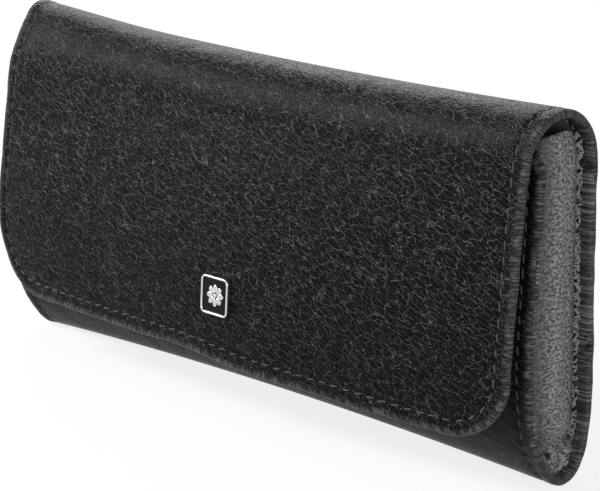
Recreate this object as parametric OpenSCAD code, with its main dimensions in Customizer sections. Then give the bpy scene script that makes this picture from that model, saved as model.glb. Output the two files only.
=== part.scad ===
// Leather manicure case with a wrap-over flap, standing on its rounded base.
// +Z is up, the flap faces -Y, X runs along the case.
// The origin is the centre of the bounding box at the level the case stands on.

/* [Case] */
// Width of the case across its panels
case_w = 148; // [136:1:170]
// Height of the case to the top of the flap's bend
case_h = 75; // [72:0.5:90]
// Outward lean of the back panel, in degrees
back_lean = 5.3; // [3:0.1:6]
// Outer radius of the flap's bend over the top
arch_r = 10.1; // [9.8:0.1:11.5]
// Thickness of the outer leather
leather_t = 1.0; // [0.8:0.1:1.1]
// Thickness of the stiffening board
board_t = 0.8; // [0.6:0.1:1]
// Thickness of the lining
lining_t = 0.6; // [0.4:0.1:0.7]
// Width of the leather turned in along the side edges
turn_w = 4; // [2:0.5:5]

/* [Base] */
// Height at which the panels start to curve into the base
base_h = 13; // [11:0.5:15]
// Width of the flat strip that the case stands on
base_flat = 10; // [6:0.5:11]
// Gap left at a score line between two boards
score_gap = 0.6; // [0.3:0.1:1]

/* [Front panel] */
// Drop of the front panel's top edge below the top of the case
front_drop = 8.5; // [7.5:0.5:15]
// Gap between the closed flap and the front panel
front_gap = 0.5; // [0.3:0.1:1]

/* [Gussets] */
// Thickness of a gusset
gusset_t = 1.2; // [0.8:0.1:1.6]
// Distance of a gusset's edges from the ends of the panels
gusset_inset = 4; // [3.5:0.1:5]
// How far a gusset bulges outwards
gusset_bulge = 2.6; // [1.5:0.1:3.2]
// Height of a gusset's lower edge
gusset_foot = 6; // [4.5:0.5:9]
// Drop of a gusset's upper edge below the top of the case
gusset_drop = 7; // [6:0.5:11]

/* [Flap] */
// Height of the flap's lower edge
flap_low = 11; // [8:0.5:16]
// Set-back of the flap's side edge from the panel's, at the bend
flap_inset_top = 1.7; // [0.5:0.1:3]
// Set-back of the flap's side edge from the panel's, at the lower edge
flap_inset_low = 3.7; // [2:0.1:6]
// Radius of the flap's lower corners
flap_corner_r = 13; // [6:0.5:18]
// How far the flap bellies out in the middle
flap_bulge = 4.7; // [3.6:0.1:6]
// Share of the flap's drop at which the belly is full
belly_at = 0.7; // [0.6:0.05:0.9]
// Gap between neighbouring strips
fold_play = 0.15; // [0.1:0.05:0.3]

/* [Badge] */
// Width of the badge
badge_w = 7.6; // [6:0.1:10]
// Height of the badge
badge_h = 8.2; // [6:0.1:11]
// How far the badge stands out of the leather
badge_rise = 1.3; // [0.9:0.1:2]
// Width of the badge's raised border
badge_border = 0.7; // [0.5:0.1:1]
// Depth of the badge's recess
badge_recess = 0.45; // [0.3:0.05:0.6]
// Corner radius of the badge
badge_corner = 1.2; // [0.9:0.1:1.6]
// Height of the badge's centre
badge_z = 26; // [22:0.5:32]
// Number of petals on the badge's rosette
petal_count = 8; // [5:1:12]
// Length of a petal
petal_len = 1.3; // [0.9:0.1:1.4]
// Radius of a petal's round end
petal_r = 0.42; // [0.3:0.02:0.5]

/* [Press stud] */
// Diameter of the stud's flange and of the socket
stud_flange_d = 10; // [8:0.5:12]
// Diameter of the stud's post
stud_post_d = 3.8; // [3:0.1:5]
// Diameter of the rivets that hold the stud and the socket
rivet_d = 2.4; // [1.8:0.1:3]
// Thickness of the flanges and rivet heads
flange_t = 0.5; // [0.4:0.1:0.6]
// Radial play between the post and the socket
stud_play = 0.35; // [0.2:0.05:0.6]
// Diameter of the wire of the socket's retaining spring
ring_wire_d = 0.6; // [0.4:0.05:0.7]

/* [Nail scissors] */
// Thickness of one blade
scissors_blade_t = 1.4; // [1.2:0.1:1.6]
// Length of a blade from the pivot to its tip
scissors_blade_len = 24; // [20:0.5:25]
// Distance from the pivot to the centres of the finger rings
scissors_ring_reach = 34; // [31:0.5:35]
// Inner radius of a finger ring
scissors_ring_r = 7.6; // [7:0.1:8]
// Width of a finger ring's rim
scissors_rim = 2.4; // [2:0.1:2.6]

/* [Nail nippers] */
// Thickness of the nippers at the joint
nipper_t = 5.6; // [5:0.1:6]
// Radius of the nippers' joint
nipper_joint_r = 5.6; // [5:0.1:6]
// Length of the jaws beyond the pivot
nipper_jaw_len = 16; // [13:0.5:18]
// Length of the handles behind the pivot
nipper_handle_len = 63; // [55:0.5:65]
// Spread of a handle from the nippers' axis
nipper_spread = 13; // [11:0.5:15]
// Width of a handle
nipper_handle_w = 4.6; // [4:0.1:5.2]
// Thickness of a return leaf
leaf_t = 0.6; // [0.4:0.05:0.8]

/* [Tweezers] */
// Length of the tweezers
tweezers_len = 78; // [65:1:80]
// Drop of the tweezers' axis below the bend's centre
tweezers_drop = 6.8; // [6.5:0.1:7]
// Width of the tweezers' arms
tweezers_w = 5; // [4:0.5:5.5]
// Thickness of an arm
tweezers_arm_t = 1.1; // [0.8:0.1:1.3]
// Distance between the tips at rest
tweezers_gap = 5.4; // [4:0.1:5.6]

/* [Nail file and cuticle pusher] */
// Length of the nail file
file_len = 100; // [80:1:102]
// Width of the nail file
file_w = 6; // [5:0.5:6.5]
// Thickness of the nail file
file_t = 1.2; // [0.8:0.1:1.6]
// Length of the file's grip
file_grip_len = 34; // [25:1:40]
// Thickness of each cheek of the file's grip
file_cheek_t = 0.9; // [0.6:0.1:1.1]
// Length of the cuticle pusher
pusher_len = 82; // [70:1:84]
// Diameter of the cuticle pusher
pusher_d = 3.4; // [3:0.1:4]
// Gap between the file and the pusher above it
pusher_gap = 2.1; // [1.6:0.1:3]

/* [Layout] */
// Height of the lowest instruments above the underside of the case
tool_floor = 6.5; // [6:0.1:8]
// Room kept free above the nippers, below the bend's centre
head_room = 4; // [2:0.5:6]
// Distance of the instruments' ends from the edges of the gussets
end_room = 4; // [3:0.5:8]
// Distance of the left loop's middle from the cuticle pusher's tip
loop_inset = 22; // [18:1:30]

/* [Straps and fits] */
// Width of a holding strap
strap_w = 7; // [5:0.5:8]
// Thickness of a holding strap
strap_t = 0.7; // [0.5:0.1:0.9]
// Width of a strap's sewn foot
strap_foot = 2.2; // [1.8:0.1:2.4]
// Play between a strap and what it holds
strap_play = 0.3; // [0.2:0.05:0.4]
// Play between a strap and a joint that turns under it
strap_turn_play = 1; // [0.8:0.1:1.2]
// Play between faces that slide past each other
face_play = 0.1; // [0.05:0.05:0.15]
// Radial play of a pivot in its bore
pivot_play = 0.05; // [0.02:0.01:0.08]
// Distance at which a seated piece lies from a curved face
seat_gap = 0.1; // [0.05:0.05:0.2]

/* [Hidden] */

// Number of narrow strips that the bending stretch of the flap is divided into.
fold_count = 5;

LEATHER = [0.09, 0.09, 0.095];
LINING = [0.16, 0.16, 0.17];
BOARD = [0.45, 0.4, 0.33];
STEEL = [0.78, 0.79, 0.8];
CHROME = [0.86, 0.87, 0.88];
ENAMEL = [0.03, 0.03, 0.035];

half_w = case_w / 2;
wall_t = leather_t + board_t + lining_t;
fold_t = leather_t + lining_t;
front_h = case_h - front_drop;
gusset_top = case_h - gusset_drop;
arch_z = case_h - arch_r;
depth_front = arch_r + flap_bulge + badge_rise;
depth_back = arch_r / cos(back_lean) + (arch_z - base_h) * tan(back_lean);
arch_y = (depth_front - depth_back) / 2;
front_y = arch_y - arch_r + wall_t + front_gap;
back_y = arch_y + depth_back;
fold_step = (180 - back_lean) / fold_count;
flap_y = arch_y - arch_r;

// ---------------------------------------------------------------- case profile

// The base is a flat strip between two quarters of an ellipse.
base_y = (front_y + back_y) / 2;
base_round = (back_y - front_y - base_flat) / 2;
base_steps = 7;

function base_point(side, angle) = [
    base_y + side * (base_flat / 2 + base_round * cos(angle)),
    base_h * (1 - sin(angle))
];

front_top = [front_y, front_h];
back_top = [arch_y + arch_r * cos(back_lean), arch_z + arch_r * sin(back_lean)];
base_front_arc = [for (i = [0 : base_steps]) base_point(-1, 90 * i / base_steps)];
base_back_arc = [for (i = [base_steps : -1 : 0]) base_point(1, 90 * i / base_steps)];
base_path = concat(base_front_arc, base_back_arc);
case_path = concat([front_top], base_path, [back_top]);

function left_normal(a, b) = [a[1] - b[1], b[0] - a[0]] / norm(b - a);

// The path moved inwards by d, with its corners mitred.
function inset_path(path, d) = [
    for (i = [0 : len(path) - 1])
        let (
            before = left_normal(path[max(i - 1, 0)], path[max(i, 1)]),
            after = left_normal(path[min(i, len(path) - 2)], path[min(i + 1, len(path) - 1)]),
            mitre = (before + after) / (1 + before * after)
        )
        path[i] + d * mitre
];

function reversed(list) = [for (i = [len(list) - 1 : -1 : 0]) list[i]];

function slice(list, first, last) = [for (i = [first : last]) list[i]];

// A sheet along the case's path, between two depths below its outer face.
module sheet(d0, d1, x0, x1, first = 0, last = len(case_path) - 1) {
    outer = slice(inset_path(case_path, d0), first, last);
    inner = slice(inset_path(case_path, d1), first, last);
    translate([x0, 0, 0])
        rotate([90, 0, 90])
            linear_extrude(x1 - x0)
                polygon(concat(outer, reversed(inner)));
}

// A strip of even width along a line of points, in a flat shape.
module strip_2d(points, width) {
    polygon(concat(inset_path(points, width / 2), reversed(inset_path(points, -width / 2))));
}

// Children set in the leaning frame of the back panel: y is the distance from
// the bend's centre line and z is counted from the bend's centre.
module back_frame() {
    translate([0, arch_y, arch_z])
        rotate([back_lean, 0, 0])
            children();
}

// A flat shape drawn in x and z, with its back face at y and its thickness towards the front.
module plate(y, t) {
    translate([0, y, 0])
        rotate([90, 0, 0])
            linear_extrude(t)
                children();
}

// A round bar along y, from y towards the front.
module bar_y(y, len, d) {
    translate([0, y, 0])
        rotate([90, 0, 0])
            cylinder(h = len, d = d, $fn = 48);
}

module outer_leather() {
    color(LEATHER)
        difference() {
            sheet(0, leather_t, -half_w, half_w);
            stud_hole();
        }
}

// A piece of board between two points of the path.
module board(first, last) {
    difference() {
        sheet(leather_t, leather_t + board_t, -half_w + turn_w, half_w - turn_w, first, last);
        stud_hole();
    }
}

// What is cut off the flat boards, so that a score line stays open above the base.
module below_score_line() {
    translate([-half_w, -case_w, 0])
        cube([case_w, 2 * case_w, base_h + score_gap]);
}

module front_board() {
    color(BOARD)
        difference() {
            board(0, 1);
            below_score_line();
        }
}

module base_stiffener() {
    color(BOARD)
        board(1, len(case_path) - 2);
}

module back_board() {
    color(BOARD)
        difference() {
            board(len(case_path) - 2, len(case_path) - 1);
            below_score_line();
        }
}

module case_lining() {
    color(LINING)
        difference() {
            sheet(leather_t + board_t, wall_t, -half_w, half_w);
            stud_hole();
        }
}

// The leather turned in over the board along one side edge.
module edge_turn(side) {
    x0 = side > 0 ? half_w - turn_w : -half_w;
    color(LEATHER)
        sheet(leather_t, leather_t + board_t, x0, x0 + turn_w);
}

module left_edge_turn() {
    edge_turn(-1);
}

module right_edge_turn() {
    edge_turn(1);
}

// ---------------------------------------------------------------- gussets

// Radial room between a gusset and the flap's bend.
gusset_play = 0.8;
inner_path = inset_path(case_path, wall_t);
gusset_chord = (back_y - front_y) / 2 - wall_t;
gusset_r = (pow(gusset_chord, 2) + pow(gusset_bulge, 2)) / (2 * gusset_bulge);
gusset_centre_x = half_w - gusset_inset + gusset_bulge - gusset_r;

module case_hollow() {
    inner_front = [front_y + wall_t, case_h];
    inner_back = [back_y, case_h];
    rotate([90, 0, 90])
        linear_extrude(case_w, center = true)
            intersection() {
                polygon(concat([inner_front], inner_path, [inner_back]));
                union() {
                    translate([arch_y, arch_z])
                        circle(r = arch_r - fold_t - gusset_play, $fn = 96);
                    translate([-case_w, 0])
                        square([2 * case_w, arch_z]);
                }
            }
}

module gusset(side) {
    color(LINING)
        intersection() {
            case_hollow();
            translate([side * gusset_centre_x, base_y, gusset_foot])
                difference() {
                    cylinder(h = gusset_top - gusset_foot, r = gusset_r, $fn = 128);
                    translate([0, 0, -1])
                        cylinder(h = case_h, r = gusset_r - gusset_t, $fn = 128);
                }
            translate([side > 0 ? gusset_centre_x : -case_w, -case_w / 2, 0])
                cube([case_w - gusset_centre_x, case_w, case_h]);
        }
}

module left_gusset() {
    gusset(-1);
}

module right_gusset() {
    gusset(1);
}

// ---------------------------------------------------------------- flap

module flap_fold(index) {
    trim = fold_play / 2 / arch_r * 180 / PI;
    a0 = back_lean + (index - 1) * fold_step + trim;
    a1 = back_lean + index * fold_step - trim;
    steps = 6;
    angles = [for (i = [0 : steps]) a0 + (a1 - a0) * i / steps];
    outer = [for (a = angles) arch_r * [cos(a), sin(a)]];
    inner = [for (a = angles) (arch_r - fold_t) * [cos(a), sin(a)]];
    reach = half_w - flap_inset_top * index / fold_count;
    color(LEATHER)
        translate([-reach, arch_y, arch_z])
            rotate([90, 0, 90])
                linear_extrude(2 * reach)
                    polygon(concat(outer, reversed(inner)));
}

module flap_fold_1() {
    flap_fold(1);
}

module flap_fold_2() {
    flap_fold(2);
}

module flap_fold_3() {
    flap_fold(3);
}

module flap_fold_4() {
    flap_fold(4);
}

module flap_fold_5() {
    flap_fold(5);
}

flap_top = arch_z - fold_play / 2;
flap_drop = flap_top - flap_low;

// How far the flap's middle bellies out at height z.
function belly(z) = flap_bulge * sin(90 * min(1, (flap_top - z) / flap_drop / belly_at));

function flap_reach(z) =
    let (
        slope = (flap_top - z) / flap_drop,
        side = half_w - flap_inset_top + (flap_inset_top - flap_inset_low) * slope,
        rise = max(0, flap_corner_r - (z - flap_low))
    )
    side - flap_corner_r + sqrt(pow(flap_corner_r, 2) - pow(rise, 2));

flap_columns = 16;
corner_steps = 6;
straight_steps = 5;
straight_low = flap_low + flap_corner_r;
flap_rows = concat(
    [for (i = [0 : straight_steps]) flap_top + (straight_low - flap_top) * i / straight_steps],
    [for (i = [1 : corner_steps]) straight_low - flap_corner_r * sin(90 * i / corner_steps)]
);

// Points of one face of a flap layer, d behind the flap's outer face.
function flap_face(d) = [
    for (z = flap_rows)
        for (i = [0 : flap_columns])
            let (s = 2 * i / flap_columns - 1)
            [s * flap_reach(z), flap_y + d - belly(z) * (1 - s * s), z]
];

// Triangles of a grid of rows and columns whose first point is at start.
function grid_faces(rows, columns, start, flip) = [
    for (r = [0 : rows - 2])
        for (c = [0 : columns - 2])
            let (a = start + r * columns + c, b = a + 1, e = a + columns, f = e + 1)
            each (flip ? [[a, b, e], [b, f, e]] : [[a, e, b], [b, e, f]])
];

// Triangles that join the rims of two equal grids.
function rim_faces(rows, columns, shift) =
    let (
        rim = concat(
            [for (c = [0 : columns - 2]) c],
            [for (r = [0 : rows - 2]) r * columns + columns - 1],
            [for (c = [columns - 1 : -1 : 1]) (rows - 1) * columns + c],
            [for (r = [rows - 1 : -1 : 1]) r * columns]
        ),
        n = len(rim)
    )
    [
        for (i = [0 : n - 1])
            let (a = rim[i], b = rim[(i + 1) % n])
            each [[a, b, b + shift], [a, b + shift, a + shift]]
    ];

// One layer of the flap's front, between two depths below its outer face.
module flap_layer(d0, d1) {
    rows = len(flap_rows);
    columns = flap_columns + 1;
    shift = rows * columns;
    polyhedron(
        points = concat(flap_face(d0), flap_face(d1)),
        faces = concat(
            grid_faces(rows, columns, 0, true),
            grid_faces(rows, columns, shift, false),
            [for (f = rim_faces(rows, columns, shift)) reversed(f)]
        )
    );
}

module flap_leather() {
    color(LEATHER)
        flap_layer(0, leather_t);
}

module flap_board() {
    color(BOARD)
        flap_layer(leather_t, leather_t + board_t);
}

module flap_lining() {
    color(LINING)
        flap_layer(leather_t + board_t, wall_t);
}

// ---------------------------------------------------------------- badge

badge_face_y = flap_y - flap_bulge;

module badge_outline(inset) {
    offset_w = badge_w / 2 - inset;
    offset_h = badge_h / 2 - inset;
    r = badge_corner - inset;
    translate([0, badge_z]) {
        square([2 * (offset_w - r), 2 * offset_h], center = true);
        square([2 * offset_w, 2 * (offset_h - r)], center = true);
        for (sx = [-1, 1], sz = [-1, 1])
            translate([sx * (offset_w - r), sz * (offset_h - r)])
                circle(r = r, $fn = 40);
    }
}

module badge_frame() {
    floor_y = badge_face_y - badge_rise + badge_recess;
    color(CHROME)
        difference() {
            plate(badge_face_y, badge_rise)
                badge_outline(0);
            plate(floor_y, badge_recess + 1)
                badge_outline(badge_border);
        }
}

enamel_t = badge_recess * 0.6;

module badge_enamel() {
    floor_y = badge_face_y - badge_rise + badge_recess;
    color(ENAMEL)
        plate(floor_y, enamel_t)
            badge_outline(badge_border);
}

module badge_rosette() {
    floor_y = badge_face_y - badge_rise + badge_recess - enamel_t;
    color(CHROME)
        plate(floor_y, badge_recess - enamel_t)
            translate([0, badge_z]) {
                circle(r = petal_r, $fn = 32);
                for (i = [0 : petal_count - 1])
                    rotate(360 * i / petal_count) {
                        translate([0, -petal_r / 3])
                            square([petal_len, petal_r * 2 / 3]);
                        translate([petal_len, 0])
                            circle(r = petal_r, $fn = 32);
                    }
            }
}

// ---------------------------------------------------------------- press stud

socket_y = flap_y - flap_bulge + wall_t + seat_gap;
stud_room = front_y - socket_y;
socket_h = stud_room - 2 * flange_t;
post_h = stud_room - 3 * flange_t - 3 * seat_gap;
socket_bore_d = stud_post_d + 2 * stud_play;

module at_stud() {
    translate([0, 0, badge_z])
        children();
}

// The rivet's hole through the front panel.
module stud_hole() {
    at_stud()
        bar_y(front_y + wall_t + 1, wall_t + 2, rivet_d + 2 * pivot_play);
}

module stud_post() {
    neck_d = stud_post_d * 0.8;
    color(STEEL)
        at_stud() {
            bar_y(front_y, flange_t, stud_flange_d);
            bar_y(front_y - flange_t, post_h - stud_post_d / 2, neck_d);
            translate([0, front_y - flange_t - post_h + stud_post_d / 2, 0])
                intersection() {
                    sphere(d = stud_post_d, $fn = 48);
                    bar_y(stud_post_d / 3, stud_post_d, stud_post_d);
                }
        }
}

module stud_rivet() {
    color(STEEL)
        at_stud() {
            bar_y(front_y + wall_t + flange_t, flange_t, stud_flange_d * 0.8);
            bar_y(front_y + wall_t, wall_t, rivet_d);
        }
}

ring_groove_y = socket_y + socket_h - ring_wire_d * 1.6;

module stud_socket() {
    groove_d = socket_bore_d + 2 * ring_wire_d;
    color(STEEL)
        difference() {
            at_stud()
                bar_y(socket_y + socket_h, socket_h, stud_flange_d);
            at_stud()
                bar_y(socket_y + socket_h + 1, socket_h + 1 - flange_t, socket_bore_d);
            at_stud()
                bar_y(ring_groove_y + ring_wire_d, ring_wire_d * 2, groove_d);
        }
}

module socket_spring() {
    ring_r = socket_bore_d / 2 + ring_wire_d / 2;
    color(STEEL)
        translate([0, ring_groove_y, badge_z])
            rotate([90, 0, 0])
                rotate_extrude($fn = 64)
                    translate([ring_r, 0])
                        circle(d = ring_wire_d * 0.9, $fn = 24);
}

// The cap that clinches the socket, in the bottom of its bore.
module socket_rivet() {
    color(STEEL)
        at_stud()
            bar_y(socket_y + 2 * flange_t, flange_t, rivet_d);
}

// ---------------------------------------------------------------- holding straps

rest_y = arch_r - wall_t;

// End of the instruments' stretch, and the level of the lowest of them in the back's frame.
tool_end = half_w - gusset_inset - end_room;
floor_z = tool_floor - arch_z;
file_z = floor_z + file_w / 2;
pusher_z = file_z + file_w / 2 + pusher_gap + pusher_d / 2;
loop_top_z = pusher_z + pusher_d / 2 + strap_play;

// An omega-shaped strap over something that reaches to front_face, sewn to the lining.
module strap(x, z, half_gap, front_face) {
    top_y = front_face - strap_t;
    height = rest_y - top_y;
    color(LINING)
        back_frame()
            translate([x - strap_w / 2, 0, z])
                rotate([90, 0, 90])
                    linear_extrude(strap_w)
                        difference() {
                            union() {
                                translate([top_y, -half_gap - strap_t])
                                    square([height, 2 * (half_gap + strap_t)]);
                                translate([rest_y - strap_t, -half_gap - strap_foot])
                                    square([strap_t, 2 * (half_gap + strap_foot)]);
                            }
                            translate([front_face, -half_gap])
                                square([height, 2 * half_gap]);
                        }
}

// ---------------------------------------------------------------- nail scissors

// Distance between the scissors and the back's lining.
scissors_lift = 2.4;
scissors_y = rest_y - scissors_lift;
scissors_t = 2 * scissors_blade_t + face_play;
scissors_boss_r = 4;
ring_outer_r = scissors_ring_r + scissors_rim;
ring_offset = ring_outer_r + 0.4;
scissors_x = -tool_end + ring_outer_r + scissors_ring_reach;
scissors_z = floor_z + ring_offset + ring_outer_r;
screw_r = 1.5;
screw_head_r = 2.6;
screw_head_t = 0.5;

// A bar between two points of a flat shape, with a width at each.
module taper_2d(a, b, wa, wb) {
    n = left_normal(a, b);
    polygon([a + n * wa / 2, b + n * wb / 2, b - n * wb / 2, a - n * wa / 2]);
}

// Outline of a blade with its boss, the blade on the side of the axis given by side.
module scissors_blade_2d(side) {
    circle(r = scissors_boss_r, $fn = 64);
    polygon([
        [0, side * scissors_boss_r],
        [scissors_blade_len * 0.45, side * scissors_boss_r * 0.72],
        [scissors_blade_len * 0.8, side * scissors_boss_r * 0.42],
        [scissors_blade_len, -side * 0.2],
        [scissors_blade_len * 0.5, -side * 0.8],
        [0, -side * 0.8]
    ]);
}

module scissors_shank_2d(side) {
    ring_at = [-scissors_ring_reach, side * ring_offset];
    join = [-scissors_ring_reach + ring_outer_r * 0.7, side * (ring_offset - ring_outer_r * 0.55)];
    difference() {
        union() {
            translate(ring_at)
                circle(r = ring_outer_r, $fn = 96);
            taper_2d([-scissors_boss_r * 1.3, side * 1.9], join, 3.4, 4);
        }
        translate(ring_at)
            circle(r = scissors_ring_r, $fn = 96);
    }
}

module scissors_frame() {
    back_frame()
        translate([scissors_x, 0, scissors_z])
            children();
}

// The blade lies in its own half of the thickness, and the ring takes both.
module scissors_half(side, blade_y) {
    scissors_frame()
        difference() {
            union() {
                plate(blade_y, scissors_blade_t)
                    scissors_blade_2d(-side);
                plate(blade_y, scissors_blade_t)
                    taper_2d([0, 0], [-scissors_boss_r * 1.3, side * 1.9], 6.4, 3.4);
                plate(scissors_y, scissors_t)
                    scissors_shank_2d(side);
            }
            bar_y(scissors_y + 1, scissors_t + 2, 2 * (screw_r + pivot_play));
        }
}

module scissors_fixed_half() {
    color(STEEL)
        scissors_half(-1, scissors_y);
}

module scissors_moving_half() {
    color(STEEL)
        scissors_half(1, scissors_y - scissors_blade_t - face_play);
}

module scissors_screw() {
    front = scissors_y - scissors_t - face_play;
    back = scissors_y + face_play;
    color(STEEL)
        scissors_frame() {
            bar_y(back, back - front, 2 * screw_r);
            difference() {
                bar_y(front, screw_head_t, 2 * screw_head_r);
                translate([-screw_head_r, front - 2 * screw_head_t, -0.3])
                    cube([2 * screw_head_r, 1.5 * screw_head_t, 0.6]);
            }
            bar_y(back + screw_head_t, screw_head_t, 2 * screw_head_r);
        }
}

module scissors_strap() {
    front = scissors_y - scissors_t - face_play - screw_head_t;
    strap(scissors_x, scissors_z, scissors_boss_r + strap_turn_play, front - strap_play);
}

// ---------------------------------------------------------------- nail nippers

nipper_y = rest_y - strap_play;
nipper_x = tool_end - nipper_handle_len - nipper_handle_w / 2;
nipper_z = (loop_top_z + strap_foot - head_room) / 2;
lever_t = (nipper_t - face_play) / 2;
nipper_pin_r = 2;
jaw_gap = 2.4;
jaw_root_h = 4.6;
jaw_tip_h = 1.6;
joint_play = 0.4;
handle_t = nipper_t - 1.2;

module nipper_frame() {
    back_frame()
        translate([nipper_x, 0, nipper_z])
            children();
}

// Outline of a jaw on one side of the axis, beyond the joint's round.
module jaw_2d(side) {
    difference() {
        polygon([
            [0, side * jaw_gap * 0.1],
            [-nipper_jaw_len, side * jaw_gap / 2],
            [-nipper_jaw_len, side * (jaw_gap / 2 + jaw_tip_h)],
            [-nipper_joint_r, side * jaw_root_h],
            [0, side * jaw_root_h]
        ]);
        circle(r = nipper_joint_r + joint_play, $fn = 96);
    }
}

// A point on a handle's centre line, for t from 0 at the joint to 1 at the end.
function handle_point(t, side) = [
    nipper_joint_r * 0.6 + (nipper_handle_len - nipper_joint_r * 0.6) * t,
    side * (2.6 + (nipper_spread - 2.6) * sin(min(1, t * 1.35) * 90) - 1.4 * pow(t, 3))
];

module handle_2d(side) {
    steps = 10;
    points = [for (i = [0 : steps]) handle_point(i / steps, side)];
    difference() {
        union() {
            strip_2d(points, nipper_handle_w);
            translate(points[steps])
                circle(d = nipper_handle_w, $fn = 48);
        }
        circle(r = nipper_joint_r + joint_play, $fn = 96);
    }
}

// Neck that ties the joint's half to the jaw and the handle in that half of the thickness.
module lever_neck_2d(side) {
    circle(r = nipper_joint_r, $fn = 96);
    intersection() {
        circle(r = nipper_joint_r + joint_play + 1, $fn = 96);
        union() {
            polygon([
                [0, -side * jaw_gap * 0.1],
                [-2 * nipper_joint_r, -side * jaw_gap / 2],
                [-2 * nipper_joint_r, -side * jaw_root_h],
                [0, -side * jaw_root_h]
            ]);
            polygon(concat(
                [[0, 0]],
                [handle_point(0.2, side) + [0, side * nipper_handle_w / 3]],
                [handle_point(0.2, side) - [0, side * nipper_handle_w / 3]]
            ));
        }
    }
}

module nipper_lever(side, joint_y) {
    nipper_frame()
        difference() {
            union() {
                plate(joint_y, lever_t)
                    lever_neck_2d(side);
                plate(nipper_y, nipper_t)
                    jaw_2d(-side);
                plate(nipper_y - (nipper_t - handle_t) / 2, handle_t)
                    handle_2d(side);
            }
            bar_y(nipper_y + 1, nipper_t + 2, 2 * (nipper_pin_r + pivot_play));
        }
}

module nipper_fixed_lever() {
    color(STEEL)
        nipper_lever(-1, nipper_y);
}

module nipper_moving_lever() {
    color(STEEL)
        nipper_lever(1, nipper_y - lever_t - face_play);
}

module nipper_pivot() {
    color(STEEL)
        nipper_frame()
            bar_y(nipper_y, nipper_t, 2 * nipper_pin_r);
}

leaf_w = (handle_t - 1) / 2;

// A return leaf, riveted to the inside of a handle and bent towards the axis.
module nipper_leaf(side, leaf_y) {
    foot = handle_point(0.62, side);
    along = handle_point(0.72, side) - foot;
    inwards = left_normal(foot, foot + along) * -side;
    inside = foot + inwards * (nipper_handle_w / 2 + leaf_t / 2 + seat_gap);
    heel = inside + along;
    mid = [foot[0] - 14, side * (nipper_spread - nipper_handle_w / 2) * 0.62];
    tip = [nipper_joint_r + 9, side * 0.7];
    color(STEEL)
        nipper_frame()
            plate(leaf_y, leaf_w)
                strip_2d([heel, inside, mid, tip], leaf_t);
}

module nipper_fixed_leaf() {
    nipper_leaf(-1, nipper_y - (nipper_t - handle_t) / 2);
}

module nipper_moving_leaf() {
    nipper_leaf(1, nipper_y - (nipper_t - handle_t) / 2 - handle_t + leaf_w);
}

module nipper_strap() {
    strap(nipper_x, nipper_z, nipper_joint_r + strap_turn_play, nipper_y - nipper_t - strap_play);
}

module nipper_handle_strap() {
    at = handle_point(0.9, -1);
    strap(
        nipper_x + at[0], nipper_z + at[1],
        nipper_handle_w / 2 + strap_turn_play, nipper_y - nipper_t - strap_play
    );
}

// ---------------------------------------------------------------- tweezers

tweezers_x = -tool_end;
tweezers_y = rest_y - strap_play;
tweezers_z = -tweezers_drop;
tweezers_root_len = 9;
root_half = tweezers_arm_t + 0.3;

module tweezers_frame() {
    back_frame()
        translate([tweezers_x, 0, tweezers_z])
            children();
}

module tweezers_root() {
    color(STEEL)
        tweezers_frame()
            plate(tweezers_y, tweezers_w) {
                translate([0, -root_half])
                    square([tweezers_root_len, 2 * root_half]);
            }
}

// An arm that swings about the end of the root, on one side of the axis.
module tweezers_arm(side) {
    start = tweezers_root_len + face_play;
    tip_z = tweezers_gap / 2 + tweezers_arm_t / 2;
    points = [
        [start, side * (root_half - tweezers_arm_t / 2)],
        [start + (tweezers_len - start) * 0.55, side * (tip_z + 0.5)],
        [tweezers_len - 3, side * tip_z],
        [tweezers_len, side * (tip_z - 0.7)]
    ];
    color(STEEL)
        tweezers_frame()
            plate(tweezers_y, tweezers_w)
                strip_2d(points, tweezers_arm_t);
}

module tweezers_upper_arm() {
    tweezers_arm(1);
}

module tweezers_lower_arm() {
    tweezers_arm(-1);
}

module tweezers_strap() {
    strap(
        tweezers_x + tweezers_root_len / 2, tweezers_z,
        root_half + strap_play, tweezers_y - tweezers_w - strap_play
    );
}

// ---------------------------------------------------------------- file and pusher

low_tool_y = rest_y - scissors_lift - 1.2;

module file_blade() {
    tip = file_w * 0.9;
    color(STEEL)
        back_frame()
            plate(low_tool_y, file_t)
                translate([tool_end - file_len, file_z])
                    polygon([
                        [0, 0],
                        [tip, file_w / 2],
                        [file_len, file_w / 2],
                        [file_len, -file_w / 2],
                        [tip, -file_w / 2]
                    ]);
}

module file_cheek(y) {
    plate(y, file_cheek_t)
        translate([tool_end - file_grip_len, file_z]) {
            translate([0, -file_w / 2])
                square([file_grip_len, file_w]);
            circle(d = file_w, $fn = 48);
        }
}

module file_grip() {
    color(ENAMEL)
        back_frame() {
            file_cheek(low_tool_y + file_cheek_t);
            file_cheek(low_tool_y - file_t);
        }
}

module cuticle_pusher() {
    r = pusher_d / 2;
    spoon = 12;
    color(STEEL)
        back_frame()
            translate([tool_end - pusher_len, low_tool_y - r, pusher_z])
                intersection() {
                    rotate([0, 90, 0])
                        rotate_extrude($fn = 48)
                            polygon([
                                [0, 0],
                                [r * 0.75, 1.2],
                                [r * 0.9, spoon],
                                [r, spoon + 6],
                                [r, pusher_len - 14],
                                [0.4, pusher_len],
                                [0, pusher_len]
                            ]);
                    union() {
                        translate([0, -r * 0.35, -r])
                            cube([spoon, r * 0.7, 2 * r]);
                        translate([spoon, -r, -r])
                            cube([pusher_len, 2 * r, 2 * r]);
                    }
                }
}

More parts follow.
